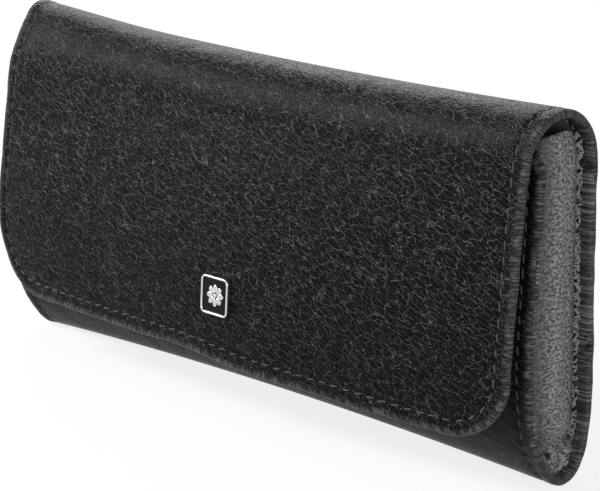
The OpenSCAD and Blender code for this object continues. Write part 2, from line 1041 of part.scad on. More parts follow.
// A closed loop round the file and the pusher, sewn to the lining by its upper foot.
module lower_strap(x) {
    top = loop_top_z;
    bottom = file_z - file_w / 2 - strap_play;
    front = low_tool_y - max(pusher_d, file_t + file_cheek_t) - strap_play;
    back = low_tool_y + file_cheek_t + strap_play;
    color(LINING)
        back_frame()
            translate([x - strap_w / 2, 0, 0])
                rotate([90, 0, 90])
                    linear_extrude(strap_w) {
                        difference() {
                            translate([front - strap_t, bottom - strap_t])
                                square([back - front + 2 * strap_t, top - bottom + 2 * strap_t]);
                            translate([front, bottom])
                                square([back - front, top - bottom]);
                        }
                        translate([back, top])
                            square([rest_y - back, strap_t]);
                        translate([rest_y - strap_t, top])
                            square([strap_t, strap_foot]);
                    }
}

module lower_strap_left() {
    lower_strap(tool_end - pusher_len + loop_inset);
}

module lower_strap_right() {
    lower_strap(tool_end - file_grip_len / 2);
}

outer_leather();
front_board();
base_stiffener();
back_board();
case_lining();
left_edge_turn();
right_edge_turn();
left_gusset();
right_gusset();
stud_post();
stud_rivet();
scissors_strap();
nipper_strap();
nipper_handle_strap();
tweezers_strap();
lower_strap_left();
lower_strap_right();
scissors_fixed_half();
scissors_moving_half();
scissors_screw();
nipper_fixed_lever();
nipper_moving_lever();
nipper_pivot();
nipper_fixed_leaf();
nipper_moving_leaf();
tweezers_root();
tweezers_upper_arm();
tweezers_lower_arm();
file_blade();
file_grip();
cuticle_pusher();
flap_fold_1();
flap_fold_2();
flap_fold_3();
flap_fold_4();
flap_fold_5();
flap_leather();
flap_board();
flap_lining();
stud_socket();
socket_spring();
socket_rivet();
badge_frame();
badge_enamel();
badge_rosette();
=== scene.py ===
"""Looks of a manicure set case: grained leather, steel instruments and a chrome badge.

Lengths in the classes are in millimetres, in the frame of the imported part. Meshes are
scaled to metres as they are made.
"""
import logging
import math
from dataclasses import dataclass
from enum import Enum
from typing import Iterable, Sequence

import bpy
import numpy as np
from mathutils import Matrix, Vector


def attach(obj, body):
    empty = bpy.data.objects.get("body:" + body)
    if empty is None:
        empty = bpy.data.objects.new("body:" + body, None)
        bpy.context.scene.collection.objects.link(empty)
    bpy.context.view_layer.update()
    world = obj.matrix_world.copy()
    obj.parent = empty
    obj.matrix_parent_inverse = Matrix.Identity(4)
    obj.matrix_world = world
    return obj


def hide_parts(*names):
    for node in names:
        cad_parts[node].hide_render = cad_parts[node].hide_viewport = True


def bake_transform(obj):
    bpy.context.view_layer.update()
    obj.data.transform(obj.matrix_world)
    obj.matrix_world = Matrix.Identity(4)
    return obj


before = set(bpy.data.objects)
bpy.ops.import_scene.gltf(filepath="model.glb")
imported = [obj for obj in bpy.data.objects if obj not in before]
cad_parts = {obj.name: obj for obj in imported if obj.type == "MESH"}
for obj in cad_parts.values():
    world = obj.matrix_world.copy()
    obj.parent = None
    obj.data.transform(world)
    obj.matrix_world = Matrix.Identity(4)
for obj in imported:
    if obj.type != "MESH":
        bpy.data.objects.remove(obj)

LOG = logging.getLogger("manicure_case")
MM = 0.001
GRAIN_MAP = "grain"
EDGE = "edge_distance"
RUN = "edge_run"

Array = np.ndarray
Colour = tuple[float, float, float]


# ------------------------------------------------------------------ shader expressions


class Wire:
    """An output socket that takes part in Python expressions."""

    def __init__(self, shade: "Shade", socket: bpy.types.NodeSocket) -> None:
        """Keeps the socket and the material that it belongs to."""
        self.shade = shade
        self.socket = socket

    def __add__(self, other: "Wire | float") -> "Wire":
        """Returns self + other."""
        return self.shade.math("ADD", self, other)

    def __radd__(self, other: "Wire | float") -> "Wire":
        """Returns other + self."""
        return self.shade.math("ADD", other, self)

    def __sub__(self, other: "Wire | float") -> "Wire":
        """Returns self - other."""
        return self.shade.math("SUBTRACT", self, other)

    def __rsub__(self, other: "Wire | float") -> "Wire":
        """Returns other - self."""
        return self.shade.math("SUBTRACT", other, self)

    def __mul__(self, other: "Wire | float") -> "Wire":
        """Returns self * other."""
        return self.shade.math("MULTIPLY", self, other)

    def __rmul__(self, other: "Wire | float") -> "Wire":
        """Returns other * self."""
        return self.shade.math("MULTIPLY", other, self)

    def is_vector(self) -> bool:
        """Whether the socket carries a vector."""
        return self.socket.type == "VECTOR"


class Shade:
    """The node tree of a material or world, built by expressions and one node method."""

    def __init__(self, owner: bpy.types.Material | bpy.types.World) -> None:
        """Empties the owner's node tree."""
        owner.use_nodes = True
        self.owner = owner
        self.tree = owner.node_tree
        self.tree.nodes.clear()

    def node(
        self,
        kind: str,
        settings: dict | None = None,
        sockets: dict | None = None,
        out: int | str = 0,
    ) -> Wire:
        """Adds a node.

        Args:
            kind: the node's type.
            settings: its settings, such as a Math node's operation, or "stops" for a ramp.
            sockets: values or wires by the name or number of the input socket.
            out: the output that is wanted.

        Returns:
            The wire of that output.
        """
        made = self.tree.nodes.new(kind)
        for key, value in (settings or {}).items():
            if key == "stops":
                self._set_stops(made.color_ramp, value)
            else:
                setattr(made, key, value)
        for key, value in (sockets or {}).items():
            if isinstance(value, Wire):
                self.tree.links.new(value.socket, made.inputs[key])
            else:
                made.inputs[key].default_value = value
        return Wire(self, made.outputs[out])

    @staticmethod
    def _set_stops(ramp: bpy.types.ColorRamp, stops: Sequence[tuple]) -> None:
        """Gives a colour ramp its (position, colour) stops."""
        while len(ramp.elements) < len(stops):
            ramp.elements.new(1.0)
        for element, (position, colour) in zip(ramp.elements, stops):
            element.position = position
            element.color = (*colour, 1.0)

    def math(self, operation: str, *values: "Wire | float") -> Wire:
        """Adds a Math node, or a Vector Math node where a value is a vector.

        Args:
            operation: the node's operation.
            values: the operands, wires or numbers.

        Returns:
            The wire of the result.
        """
        if not any(isinstance(v, Wire) and v.is_vector() for v in values):
            return self.node("ShaderNodeMath", {"operation": operation}, dict(enumerate(values)))
        if operation == "MULTIPLY" and not all(isinstance(v, Wire) and v.is_vector() for v in values):
            vector, factor = values if isinstance(values[0], Wire) and values[0].is_vector() else values[::-1]
            return self.node("ShaderNodeVectorMath", {"operation": "SCALE"}, {0: vector, "Scale": factor})
        spread = [(v, v, v) if isinstance(v, (int, float)) else v for v in values]
        return self.node("ShaderNodeVectorMath", {"operation": operation}, dict(enumerate(spread)))

    def step(self, value: Wire, low: float, high: float, start: float = 0.0, end: float = 1.0) -> Wire:
        """Returns a smooth step of value from start at low to end at high."""
        sockets = {0: value, 1: low, 2: high, 3: start, 4: end}
        return self.node("ShaderNodeMapRange", {"interpolation_type": "SMOOTHSTEP"}, sockets)

    def mix(self, factor: Wire, a: Colour | Wire, b: Colour | Wire) -> Wire:
        """Returns the colour a at factor 0 and b at factor 1."""
        a, b = ((*c, 1.0) if isinstance(c, tuple) else c for c in (a, b))
        return self.node("ShaderNodeMix", {"data_type": "RGBA"}, {0: factor, 6: a, 7: b}, 2)

    def noise(self, at: Wire, scale: float, detail: float = 2.0, rough: float = 0.5) -> Wire:
        """Returns fractal noise from 0 to 1 at a place given in millimetres."""
        sockets = {"Vector": at, "Scale": scale, "Detail": detail, "Roughness": rough}
        return self.node("ShaderNodeTexNoise", {}, sockets)

    def cells(self, at: Wire) -> Wire:
        """Returns the distance to the nearest edge between irregular cells of size 1."""
        sockets = {"Vector": at, "Scale": 1.0, "Randomness": 1.0}
        return self.node("ShaderNodeTexVoronoi", {"feature": "DISTANCE_TO_EDGE"}, sockets, "Distance")

    def wander(self, at: Wire, scale: float, detail: float) -> Wire:
        """Returns smooth random offsets about zero, which bend a pattern's lines."""
        sockets = {"Vector": at, "Scale": scale, "Detail": detail}
        colours = self.node("ShaderNodeTexNoise", {}, sockets, "Color")
        return self.node("ShaderNodeVectorMath", {"operation": "SUBTRACT"}, {0: colours, 1: (0.5, 0.5, 0.5)})

    def ripple(self, phase: Wire) -> Wire:
        """Returns a sine wave between 0 and 1."""
        return self.math("SINE", phase) * 0.5 + 0.5

    def vector(self, x: Wire | float, y: Wire | float, z: Wire | float = 0.0) -> Wire:
        """Returns a vector made of three values."""
        return self.node("ShaderNodeCombineXYZ", {}, {0: x, 1: y, 2: z})

    def split(self, vector: Wire) -> tuple[Wire, Wire, Wire]:
        """Returns the three values of a vector."""
        first = self.node("ShaderNodeSeparateXYZ", {}, {0: vector})
        outputs = first.socket.node.outputs
        return tuple(Wire(self, outputs[i]) for i in range(3))

    def turned(self, at: Wire, degrees: float, stretch: Sequence[float]) -> Wire:
        """Returns the place turned about its third axis and then scaled."""
        sockets = {"Vector": at, "Rotation": (0, 0, math.radians(degrees))}
        turned = self.node("ShaderNodeMapping", {"vector_type": "POINT"}, sockets)
        return self.node("ShaderNodeVectorMath", {"operation": "MULTIPLY"}, {0: turned, 1: tuple(stretch)})

    def on_skin(self) -> Wire:
        """Returns the place on a piece's own grain map, in millimetres."""
        return self.node("ShaderNodeUVMap", {"uv_map": GRAIN_MAP})

    def in_body(self) -> Wire:
        """Returns the place in the piece's own space, in millimetres."""
        return self.node("ShaderNodeTexCoord", {}, {}, "Object") * (1 / MM)

    def datum(self, name: str) -> Wire:
        """Returns a value that is stored on the mesh."""
        return self.node("ShaderNodeAttribute", {"attribute_name": name}, {}, "Fac")

    def bump(self, height: Wire, depth: float, under: Wire | None = None) -> Wire:
        """Returns the normal of a relief of that height times depth, in millimetres."""
        sockets = {"Height": height, "Distance": depth * MM, "Strength": 1.0}
        if under is not None:
            sockets["Normal"] = under
        return self.node("ShaderNodeBump", {}, sockets)

    def end(self, shader: Wire) -> None:
        """Links a shader to the owner's surface."""
        kind = "World" if isinstance(self.owner, bpy.types.World) else "Material"
        out = self.tree.nodes.new(f"ShaderNodeOutput{kind}")
        self.tree.links.new(shader.socket, out.inputs["Surface"])


# ------------------------------------------------------------------ finishes


@dataclass(frozen=True)
class Finish:
    """A finish that is made once and given to any number of pieces."""

    name: str

    def sockets(self, shade: Shade) -> dict:
        """Returns the values and wires of the surface shader's sockets."""
        raise NotImplementedError

    def make(self) -> bpy.types.Material:
        """Builds the material, which ends in one surface shader."""
        shade = Shade(bpy.data.materials.new(self.name))
        shade.end(shade.node("ShaderNodeBsdfPrincipled", {}, self.sockets(shade)))
        return shade.owner

    def dress(self, *pieces: bpy.types.Object) -> None:
        """Gives the finish to pieces, whose slots are filled with it."""
        material = bpy.data.materials.get(self.name) or self.make()
        for piece in pieces:
            if not piece.material_slots:
                piece.data.materials.append(material)
            for slot in piece.material_slots:
                slot.material = material


@dataclass(frozen=True)
class GrainedLeather(Finish):
    """Black leather with pebbles drawn out along a slant and creases; its crease lines and rounded edges carry
    painted highlights.

    Sizes and depths are in millimetres. A highlight range is two places along the sheet's
    profile, and the share of the painted crease highlights that is there before the first and
    after the second; its low shares paint shade on the front panel and the flap's lower end.
    """

    name: str = "grained_leather"
    base: Colour = (0.0014, 0.0014, 0.0015)
    # crease: the lighter colour of the crease lines, a painted highlight of light caught on the pebbles' edges
    crease: Colour = (0.12, 0.12, 0.122)
    pebble: float = 0.95
    slant: float = 64.0
    drawn: float = 2.8
    gap: float = 0.05
    pebble_depth: float = 0.045
    fine: float = 0.55
    fine_drawn: float = 1.8
    fine_gap: float = 0.24
    fine_depth: float = 0.035
    crack_scale: tuple[float, float] = (0.62, 0.16)
    crack_width: float = 0.02
    speckle: float = 0.4
    pore_depth: float = 0.02
    swell_scale: float = 0.16
    swell_depth: float = 0.5
    rim_width: float = 2.0
    tick_scale: float = 2.2
    tick_depth: float = 0.06
    # Highlight ranges: shares of the painted crease highlights along the profile; the low shares are painted shade
    # on the front panel and the flap's lower end.
    front_highlight_range: tuple[float, float, float, float] = (60.0, 100.0, 0.35, 1.0)
    end_highlight_range: tuple[float, float, float, float] = (185.0, 235.0, 1.0, 0.65)
    gloss_index: float = 1.12

    def sockets(self, shade: Shade) -> dict:
        """Returns the values and wires of the surface shader's sockets."""
        at = shade.on_skin()
        edge, run = shade.datum(EDGE), shade.datum(RUN)
        away = shade.wander(at, 0.45, 3.0)
        warped = at + away * 0.7
        drawn = shade.turned(warped, self.slant, (1 / self.pebble, 1 / self.pebble / self.drawn, 1.0))
        pebbles = shade.step(shade.cells(drawn), 0.0, self.gap)
        small = shade.turned(warped, self.slant + 8, (1 / self.fine, 1 / self.fine / self.fine_drawn, 1.0))
        specks = shade.step(shade.cells(small), 0.0, self.fine_gap)
        swell = shade.noise(at, self.swell_scale, 3.0)
        broken = shade.step(shade.noise(at, 0.8, 2.0), 0.30, 0.66)
        pores = shade.step(shade.noise(at, 1 / self.speckle, 2.0, 0.6), 0.44, 0.66)
        stretched = shade.turned(at + away * 0.5, self.slant + 3, (*self.crack_scale, 1.0))
        ridge = shade.math("ABSOLUTE", shade.noise(stretched, 1.0, 1.5) - 0.5)
        cracks = 1.0 - shade.step(ridge, 0.0, self.crack_width)
        calm = shade.step(edge, 0.4, self.rim_width)
        grain = (pebbles * 0.6 + 0.4 - cracks * 0.4) * (0.25 + calm * 0.75) * (0.55 + swell * 0.9)
        ticks = shade.noise(shade.vector(run * self.tick_scale, edge * 0.5 + 40.0), 1.0, 2.0, 0.6)
        tick = shade.step(ticks, 0.42, 0.68) * (1.0 - calm)
        normal = shade.bump(swell, self.swell_depth)
        for relief, depth in ((tick, self.tick_depth), (grain, self.pebble_depth),
                              (specks, self.fine_depth), (pores, self.pore_depth)):
            normal = shade.bump(relief, depth, normal)
        # Crease lines painted lighter: a painted highlight where light catches the pebbles' edges.
        line = ((1.0 - pebbles) * (0.5 + broken * 0.5) + cracks * 0.5) * (0.2 + pores * 0.8)
        along = shade.split(at)[1]
        # Painted shade: the painted crease highlights are weakened on the front panel and at the flap's lower end.
        painted_highlight_share = shade.step(along, *self.front_highlight_range) * shade.step(along, *self.end_highlight_range)
        # Painted highlight: a lighter band along the rounded edges, and lighter wrinkle ticks on it, where light
        # catches the rim; the wrinkles themselves are in the bump.
        rim = (1.0 - calm) * 0.1 + tick * 0.6
        # Painted highlights of the crease lines and rims, plus faint lighter specks and pores of the grain itself.
        grain_and_painted_light = line * (0.3 + calm * 0.7) * painted_highlight_share + rim + (1.0 - specks) * 0.012 + pores * 0.02
        colour = shade.mix(grain_and_painted_light, self.base, self.crease)
        rough = 0.21 + swell * 0.08 + (1.0 - pebbles) * 0.1
        return {
            "Base Color": colour, "Roughness": rough, "Normal": normal, "IOR": self.gloss_index,
        }


@dataclass(frozen=True)
class SoftLeather(Finish):
    """Thin supple leather with a fine, close grain.

    A nonzero span paints shade: it takes the lighter grain tone away at a wall's front edge and
    down to 0.3 of it at the rear edge, over that many millimetres across the wall.
    """

    name: str = "supple_leather"
    base: Colour = (0.008, 0.008, 0.0085)
    light: Colour = (0.15, 0.15, 0.152)
    grain: float = 0.62
    depth: float = 0.12
    specular: float = 0.45
    # painted shade: width in millimetres across a wall over which its edges are painted darker; 0 for none
    painted_shade_span: float = 0.0

    def sockets(self, shade: Shade) -> dict:
        """Returns the values and wires of the surface shader's sockets."""
        at = shade.on_skin()
        swell = shade.noise(at, 0.22, 3.0)
        warped = at + shade.wander(at, 0.9, 2.0) * 0.5
        drawn = shade.turned(warped, 8.0, (0.6 / self.grain, 1 / self.grain, 1 / self.grain))
        pebbles = shade.step(shade.cells(drawn), 0.02, 0.3)
        pores = shade.step(shade.noise(drawn, 1.15, 2.0, 0.6), 0.38, 0.60)
        normal = shade.bump(pebbles * (0.5 + swell), self.depth * 0.4, shade.bump(swell, 0.5))
        normal = shade.bump(pores, self.depth, normal)
        # Lighter grain tone from pores and swell, the leather's own; painted shade is laid over it below.
        grain_and_painted_light = pores * 0.9 + swell * 0.2 - 0.1
        # Painted shade: the tone is taken away at the wall's front edge, by the front panel's rim, and down to 0.3
        # towards the rear seam.
        if self.painted_shade_span:
            across = shade.split(at)[0]
            rising = shade.step(across, 0.0, self.painted_shade_span * 0.4)
            falling = shade.step(across, self.painted_shade_span * 0.65, self.painted_shade_span, 1.0, 0.3)
            grain_and_painted_light = grain_and_painted_light * (rising * falling)
        colour = shade.mix(grain_and_painted_light, self.base, self.light)
        return {
            "Base Color": colour, "Roughness": 0.36 + swell * 0.14, "Normal": normal,
            "Specular IOR Level": self.specular,
        }


@dataclass(frozen=True)
class WovenLining(Finish):
    """Dark lining cloth in a fine rep weave."""

    name: str = "woven_lining"
    warp: Colour = (0.022, 0.022, 0.024)
    weft: Colour = (0.05, 0.05, 0.053)
    pitch: float = 0.55

    def sockets(self, shade: Shade) -> dict:
        """Returns the values and wires of the surface shader's sockets."""
        at = shade.on_skin()
        wander = shade.noise(at, 0.35, 2.0)
        x, y, _ = shade.split(at)
        turn = 2 * math.pi / self.pitch
        across = shade.ripple((x + wander * 0.25) * turn)
        along = shade.ripple((y + wander * 0.4) * (turn * 0.5))
        weave = across * 0.6 + along * across * 0.4
        fibre = shade.noise(shade.turned(at, 0, (6.0, 1.4, 1.0)), 1.0, 3.0, 0.6)
        colour = shade.mix(weave * 0.7 + fibre * 0.3, self.warp, self.weft)
        normal = shade.bump(fibre, 0.02, shade.bump(weave, 0.07))
        return {
            "Base Color": colour, "Roughness": 0.62 + fibre * 0.2, "Normal": normal,
            "Sheen Weight": 0.25, "Sheen Roughness": 0.4, "Specular IOR Level": 0.25,
        }


@dataclass(frozen=True)
class PressedBoard(Finish):
    """Grey stiffening board with visible fibres."""

    name: str = "pressed_board"
    light: Colour = (0.36, 0.33, 0.28)
    dark: Colour = (0.22, 0.2, 0.17)

    def sockets(self, shade: Shade) -> dict:
        """Returns the values and wires of the surface shader's sockets."""
        at = shade.in_body()
        pulp = shade.noise(at, 0.8, 5.0, 0.65)
        flecks = shade.step(shade.noise(shade.turned(at, 20, (3.0, 0.8, 2.0)), 1.0, 3.0), 0.55, 0.75)
        colour = shade.mix(pulp * 0.6 + flecks * 0.5, self.light, self.dark)
        return {
            "Base Color": colour, "Roughness": 0.8 + pulp * 0.15,
            "Normal": shade.bump(pulp + flecks * 0.5, 0.05),
        }


@dataclass(frozen=True)
class Metal(Finish):
    """Metal with a polish, brushing marks and fine handling marks."""

    name: str
    colour: Colour
    rough: float
    brushed: float = 0.0
    marks: float = 0.05
    angle: float = 0.0
    depth: float = 0.006

    def sockets(self, shade: Shade) -> dict:
        """Returns the values and wires of the surface shader's sockets."""
        at = shade.in_body()
        cloud = shade.noise(at, 0.35, 3.0)
        lines = shade.noise(shade.turned(at, self.angle, (0.35, 9.0, 9.0)), 1.0, 3.0, 0.65)
        scratch = shade.step(shade.cells(shade.turned(at, 33, (0.6, 0.09, 0.6))), 0.0, 0.03)
        dull = tuple(c * 0.82 for c in self.colour)
        colour = shade.mix(shade.step(cloud, 0.3, 0.75) * 0.6 + lines * 0.25, self.colour, dull)
        rough = self.rough + lines * self.brushed + cloud * self.marks + (1.0 - scratch) * self.marks
        normal = shade.bump(lines, self.depth * (1 + 6 * self.brushed))
        return {
            "Base Color": colour, "Metallic": 1.0, "Roughness": rough, "Normal": normal,
        }


@dataclass(frozen=True)
class FileGrit(Finish):
    """Steel blade whose faces are cut in two crossing directions."""

    name: str = "file_grit"
    colour: Colour = (0.52, 0.53, 0.54)
    pitch: float = 0.42

    def sockets(self, shade: Shade) -> dict:
        """Returns the values and wires of the surface shader's sockets."""
        at = shade.in_body()
        x, _, z = shade.split(at)
        turn = 2 * math.pi / self.pitch
        teeth = shade.ripple((x + z * 0.9) * turn) * shade.ripple((x - z * 1.1) * (turn * 0.9))
        sparkle = shade.noise(at, 5.0, 3.0, 0.7)
        colour = shade.mix(teeth * 0.6 + sparkle * 0.3, tuple(c * 0.55 for c in self.colour), self.colour)
        normal = shade.bump(sparkle, 0.02, shade.bump(teeth, 0.1))
        return {
            "Base Color": colour, "Metallic": 1.0, "Roughness": 0.32 + sparkle * 0.2, "Normal": normal,
        }


@dataclass(frozen=True)
class Enamel(Finish):
    """Black glossy enamel with the faint waviness of a poured coat."""

    name: str = "black_enamel"
    colour: Colour = (0.002, 0.002, 0.0025)
    gloss_index: float = 1.22

    def sockets(self, shade: Shade) -> dict:
        """Returns the values and wires of the surface shader's sockets."""
        at = shade.in_body()
        wave = shade.noise(at, 0.9, 2.0)
        colour = shade.mix(wave, self.colour, tuple(c * 2.2 for c in self.colour))
        return {
            "Base Color": colour, "Roughness": 0.07 + wave * 0.06,
            "Normal": shade.bump(wave, 0.03), "IOR": self.gloss_index,
        }


@dataclass(frozen=True)
class MouldedGrip(Finish):
    """Black moulded plastic with a satin, faintly pitted face."""

    name: str = "moulded_grip"
    colour: Colour = (0.014, 0.014, 0.015)

    def sockets(self, shade: Shade) -> dict:
        """Returns the values and wires of the surface shader's sockets."""
        at = shade.in_body()
        pits = shade.noise(at, 4.0, 3.0, 0.6)
        cloud = shade.noise(at, 0.3, 2.0)
        colour = shade.mix(cloud, self.colour, tuple(c * 1.8 for c in self.colour))
        return {
            "Base Color": colour, "Roughness": 0.36 + pits * 0.2,
            "Normal": shade.bump(pits, 0.03), "Specular IOR Level": 0.4,
        }


@dataclass(frozen=True)
class SpunThread(Finish):
    """Twisted sewing thread."""

    name: str = "spun_thread"
    dark: Colour = (0.012, 0.012, 0.013)
    light: Colour = (0.035, 0.035, 0.036)
    plies: float = 2.6

    def sockets(self, shade: Shade) -> dict:
        """Returns the values and wires of the surface shader's sockets."""
        around, along, _ = shade.split(shade.on_skin())
        fuzz = shade.noise(shade.in_body(), 6.0, 2.0)
        ply = shade.ripple(along * (2 * math.pi * self.plies) + around * (2 * math.pi))
        colour = shade.mix(ply * 0.7 + fuzz * 0.3, self.dark, self.light)
        return {
            "Base Color": colour, "Roughness": 0.5 + fuzz * 0.2, "Normal": shade.bump(ply, 0.08),
            "Sheen Weight": 0.2, "Specular IOR Level": 0.35,
        }


# ------------------------------------------------------------------ meshes


def add_object(name: str, data: bpy.types.ID) -> bpy.types.Object:
    """Adds an object with that mesh, camera or light to the scene."""
    made = bpy.data.objects.new(name, data)
    bpy.context.scene.collection.objects.link(made)
    return made


def smooth(value: Array | float, low: float, high: float) -> Array:
    """Returns a smooth step of value from 0 at low to 1 at high."""
    t = np.clip((np.asarray(value, float) - low) / (high - low), 0, 1)
    return t * t * (3 - 2 * t)


def unit(vectors: Array) -> Array:
    """Returns the vectors at length 1."""
    return vectors / np.maximum(np.linalg.norm(vectors, axis=-1, keepdims=True), 1e-12)


def wave(at: Array | float, seed: int, pitch: float) -> Array:
    """Returns a smooth irregular wave of size about 1.

    Args:
        at: places along a line, in millimetres.
        seed: chooses the wave.
        pitch: its shortest wavelength.

    Returns:
        The wave's height at each place.
    """
    draw = np.random.default_rng(seed)
    at = np.asarray(at, float)
    total = np.zeros_like(at)
    for octave in (1.0, 1.618, 2.7, 4.3):
        total = total + np.sin(2 * math.pi * at / (pitch * octave) + draw.uniform(0, 6.28)) * octave**0.5
    return total / 3.4


def catmull_rom(points: Array, steps: int = 24) -> Array:
    """Returns a smooth line through all but the first and last of some points."""
    a, b, c, d = (points[i:len(points) - 3 + i, None] for i in range(4))
    t = np.linspace(0, 1, steps, endpoint=False)[None, :, None]
    line = 0.5 * (2 * b + (c - a) * t + (2 * a - 5 * b + 4 * c - d) * t**2 + (3 * b - a - 3 * c + d) * t**3)
    return np.vstack([line.reshape(-1, points.shape[1]), points[-2]])


@dataclass
class Patch:
    """Points, faces and per-point values of one piece, in millimetres."""

    points: Array
    faces: list
    normals: Array | None = None
    grain: Array | None = None
    edge: Array | None = None
    run: Array | None = None

    def part(self, chosen: Sequence[int]) -> "Patch":
        """Returns the patch of the chosen faces, with its open rims closed.

        Args:
            chosen: indices of the faces that are kept.

        Returns:
            The smaller patch.
        """
        faces = [self.faces[i] for i in chosen]
        used = np.unique(np.concatenate([np.asarray(f) for f in faces]))
        place = np.full(len(self.points), -1)
        place[used] = np.arange(len(used))
        faces = [[int(place[v]) for v in f] for f in faces]
        data = {k: getattr(self, k) for k in ("points", "normals", "grain", "edge", "run")}
        data = {k: None if v is None else v[used] for k, v in data.items()}
        return Patch(faces=faces, **data).capped()

    def capped(self) -> "Patch":
        """Closes each open rim with a face that has points of its own."""
        after = {}
        shared = set()
        for face in self.faces:
            for a, b in zip(face, face[1:] + face[:1]):
                shared.add((a, b))
        for a, b in shared:
            if (b, a) not in shared:
                after[b] = a
        while after:
            start, ring = next(iter(after)), []
            at = start
            while at in after:
                ring.append(at)
                at = after.pop(at)
            self._add_cap(ring)
        return self

    def _add_cap(self, ring: list[int]) -> None:
        """Adds the closing faces over a long thin ring of points, like the rungs of a ladder."""
        first, count = len(self.points), len(ring)
        tip = int(np.argmin(self.points[ring, 0]))
        ring = ring[tip:] + ring[:tip]
        rim = self.points[ring]
        middle = rim.mean(0)
        turn = np.cross(rim - middle, np.roll(rim, -1, 0) - middle).sum(0)
        self.points = np.vstack([self.points, rim])
        for k in range((count - 1) // 2):
            rung = dict.fromkeys([k, k + 1, count - 2 - k, count - 1 - k])
            self.faces.append([first + i for i in rung])
        if self.normals is not None:
            self.normals = np.vstack([self.normals, np.tile(unit(turn), (len(ring), 1))])
        for key in ("grain", "edge", "run"):
            value = getattr(self, key)
            if value is not None:
                setattr(self, key, np.concatenate([value, value[ring]]))

    def make(self, name: str) -> bpy.types.Object:
        """Makes the piece of that name."""
        mesh = bpy.data.meshes.new(name)
        mesh.from_pydata((self.points * MM).tolist(), [], self.faces)
        if self.grain is not None:
            layer = mesh.uv_layers.new(name=GRAIN_MAP)
            corners = np.zeros(len(mesh.loops), np.int32)
            mesh.loops.foreach_get("vertex_index", corners)
            layer.data.foreach_set("uv", self.grain[corners].astype(np.float32).ravel())
        for key, values in ((EDGE, self.edge), (RUN, self.run)):
            if values is not None:
                stored = mesh.attributes.new(key, "FLOAT", "POINT")
                stored.data.foreach_set("value", values.astype(np.float32))
        mesh.shade_smooth()
        if self.normals is not None:
            mesh.normals_split_custom_set_from_vertices(self.normals.tolist())
        mesh.update()
        return add_object(name, mesh)


def point_normals(points: Array, faces: list) -> Array:
    """Returns area-weighted normals of a mesh of quads."""
    quads = np.asarray([f for f in faces if len(f) == 4])
    a, b, c, d = (points[quads[:, i]] for i in range(4))
    turn = np.cross(c - a, d - b)
    total = np.zeros_like(points)
    for i in range(4):
        np.add.at(total, quads[:, i], turn)
    return unit(total)


def grid_quads(rows: int, columns: int, start: int = 0, flip: bool = False) -> list[list[int]]:
    """Returns the quads of a grid of rows and columns of points."""
    quads = []
    for r in range(rows - 1):
        for c in range(columns - 1):
            a = start + r * columns + c
            quad = [a, a + columns, a + columns + 1, a + 1]
            quads.append(quad[::-1] if flip else quad)
    return quads


def rim_order(rows: int, columns: int) -> list[int]:
    """Returns the indices of a grid's points once round its rim."""
    rim = list(range(columns))
    rim += [r * columns + columns - 1 for r in range(1, rows)]
    rim += [(rows - 1) * columns + c for c in range(columns - 2, -1, -1)]
    rim += [r * columns for r in range(rows - 2, 0, -1)]
    return rim


def slab(front: Array, back: Array, grain: Array | None = None) -> Patch:
    """Joins two equal grids of points into a closed piece.

    Args:
        front: rows x columns x 3 points of the side that is seen.
        back: the same for the other side.
        grain: rows x columns x 2 places on the grain map.

    Returns:
        The closed patch.
    """
    rows, columns = front.shape[:2]
    count = rows * columns
    faces = grid_quads(rows, columns) + grid_quads(rows, columns, count, flip=True)
    rim = rim_order(rows, columns)
    for a, b in zip(rim, rim[1:] + rim[:1]):
        faces.append([a, b, b + count, a + count])
    points = np.vstack([front.reshape(-1, 3), back.reshape(-1, 3)])
    if grain is not None:
        grain = np.vstack([grain.reshape(-1, 2)] * 2)
    return Patch(points, faces, grain=grain)


def swept(path: Array, section: Array, side: Array, closed: bool = False) -> Patch:
    """Sweeps a flat outline along a path.

    Args:
        path: n x 3 points.
        section: m x 2 outline; its first number is along side, its second across.
        side: n x 3 or 3 directions that the outline's first number goes along.
        closed: whether the path is a ring.

    Returns:
        A closed patch.
    """
    if closed:
        ahead = np.roll(path, -1, 0) - np.roll(path, 1, 0)
    else:
        ahead = np.gradient(path, axis=0)
    ahead = unit(ahead)
    side = unit(np.broadcast_to(side, path.shape))
    up = unit(np.cross(ahead, side))
    ring = path[:, None] + side[:, None] * section[None, :, :1] + up[:, None] * section[None, :, 1:]
    n, m = ring.shape[:2]
    lengths = np.linalg.norm(np.diff(path, axis=0), axis=1)
    along = np.concatenate([[0], np.cumsum(lengths)])
    around = np.arange(m) / m
    grain = np.stack(np.broadcast_arrays(around[None, :], along[:, None]), -1).reshape(-1, 2)
    faces = []
    for i in range(n if closed else n - 1):
        j = (i + 1) % n
        for k in range(m):
            after = (k + 1) % m
            faces.append([i * m + k, i * m + after, j * m + after, j * m + k])
    if not closed:
        faces.append(list(range(m))[::-1])
        faces.append([(n - 1) * m + k for k in range(m)])
    return Patch(ring.reshape(-1, 3), faces, grain=grain)


def circle(count: int) -> Array:
    """Returns points evenly round a circle of radius 1."""
    angles = np.linspace(0, 2 * math.pi, count, endpoint=False)
    return np.column_stack([np.cos(angles), np.sin(angles)])


def bar_section(half_w: float, half_h: float, powers: tuple[float, float]) -> Array:
    """Returns the outline of a soft-edged bar, which is squarer the smaller the powers are."""
    ring = circle(24)
    return np.sign(ring) * np.abs(ring) ** np.array(powers) * [half_w, half_h]


def stitch(path: Array, side: Array, size: Array) -> Patch:
    """Returns a thread along a path, whose radius is size at each of its points."""
    ring = circle(8)
    tube = swept(path, ring, side)
    centre = np.repeat(path, len(ring), 0)
    tube.points = centre + (tube.points - centre) * np.repeat(size, len(ring))[:, None]
    return tube


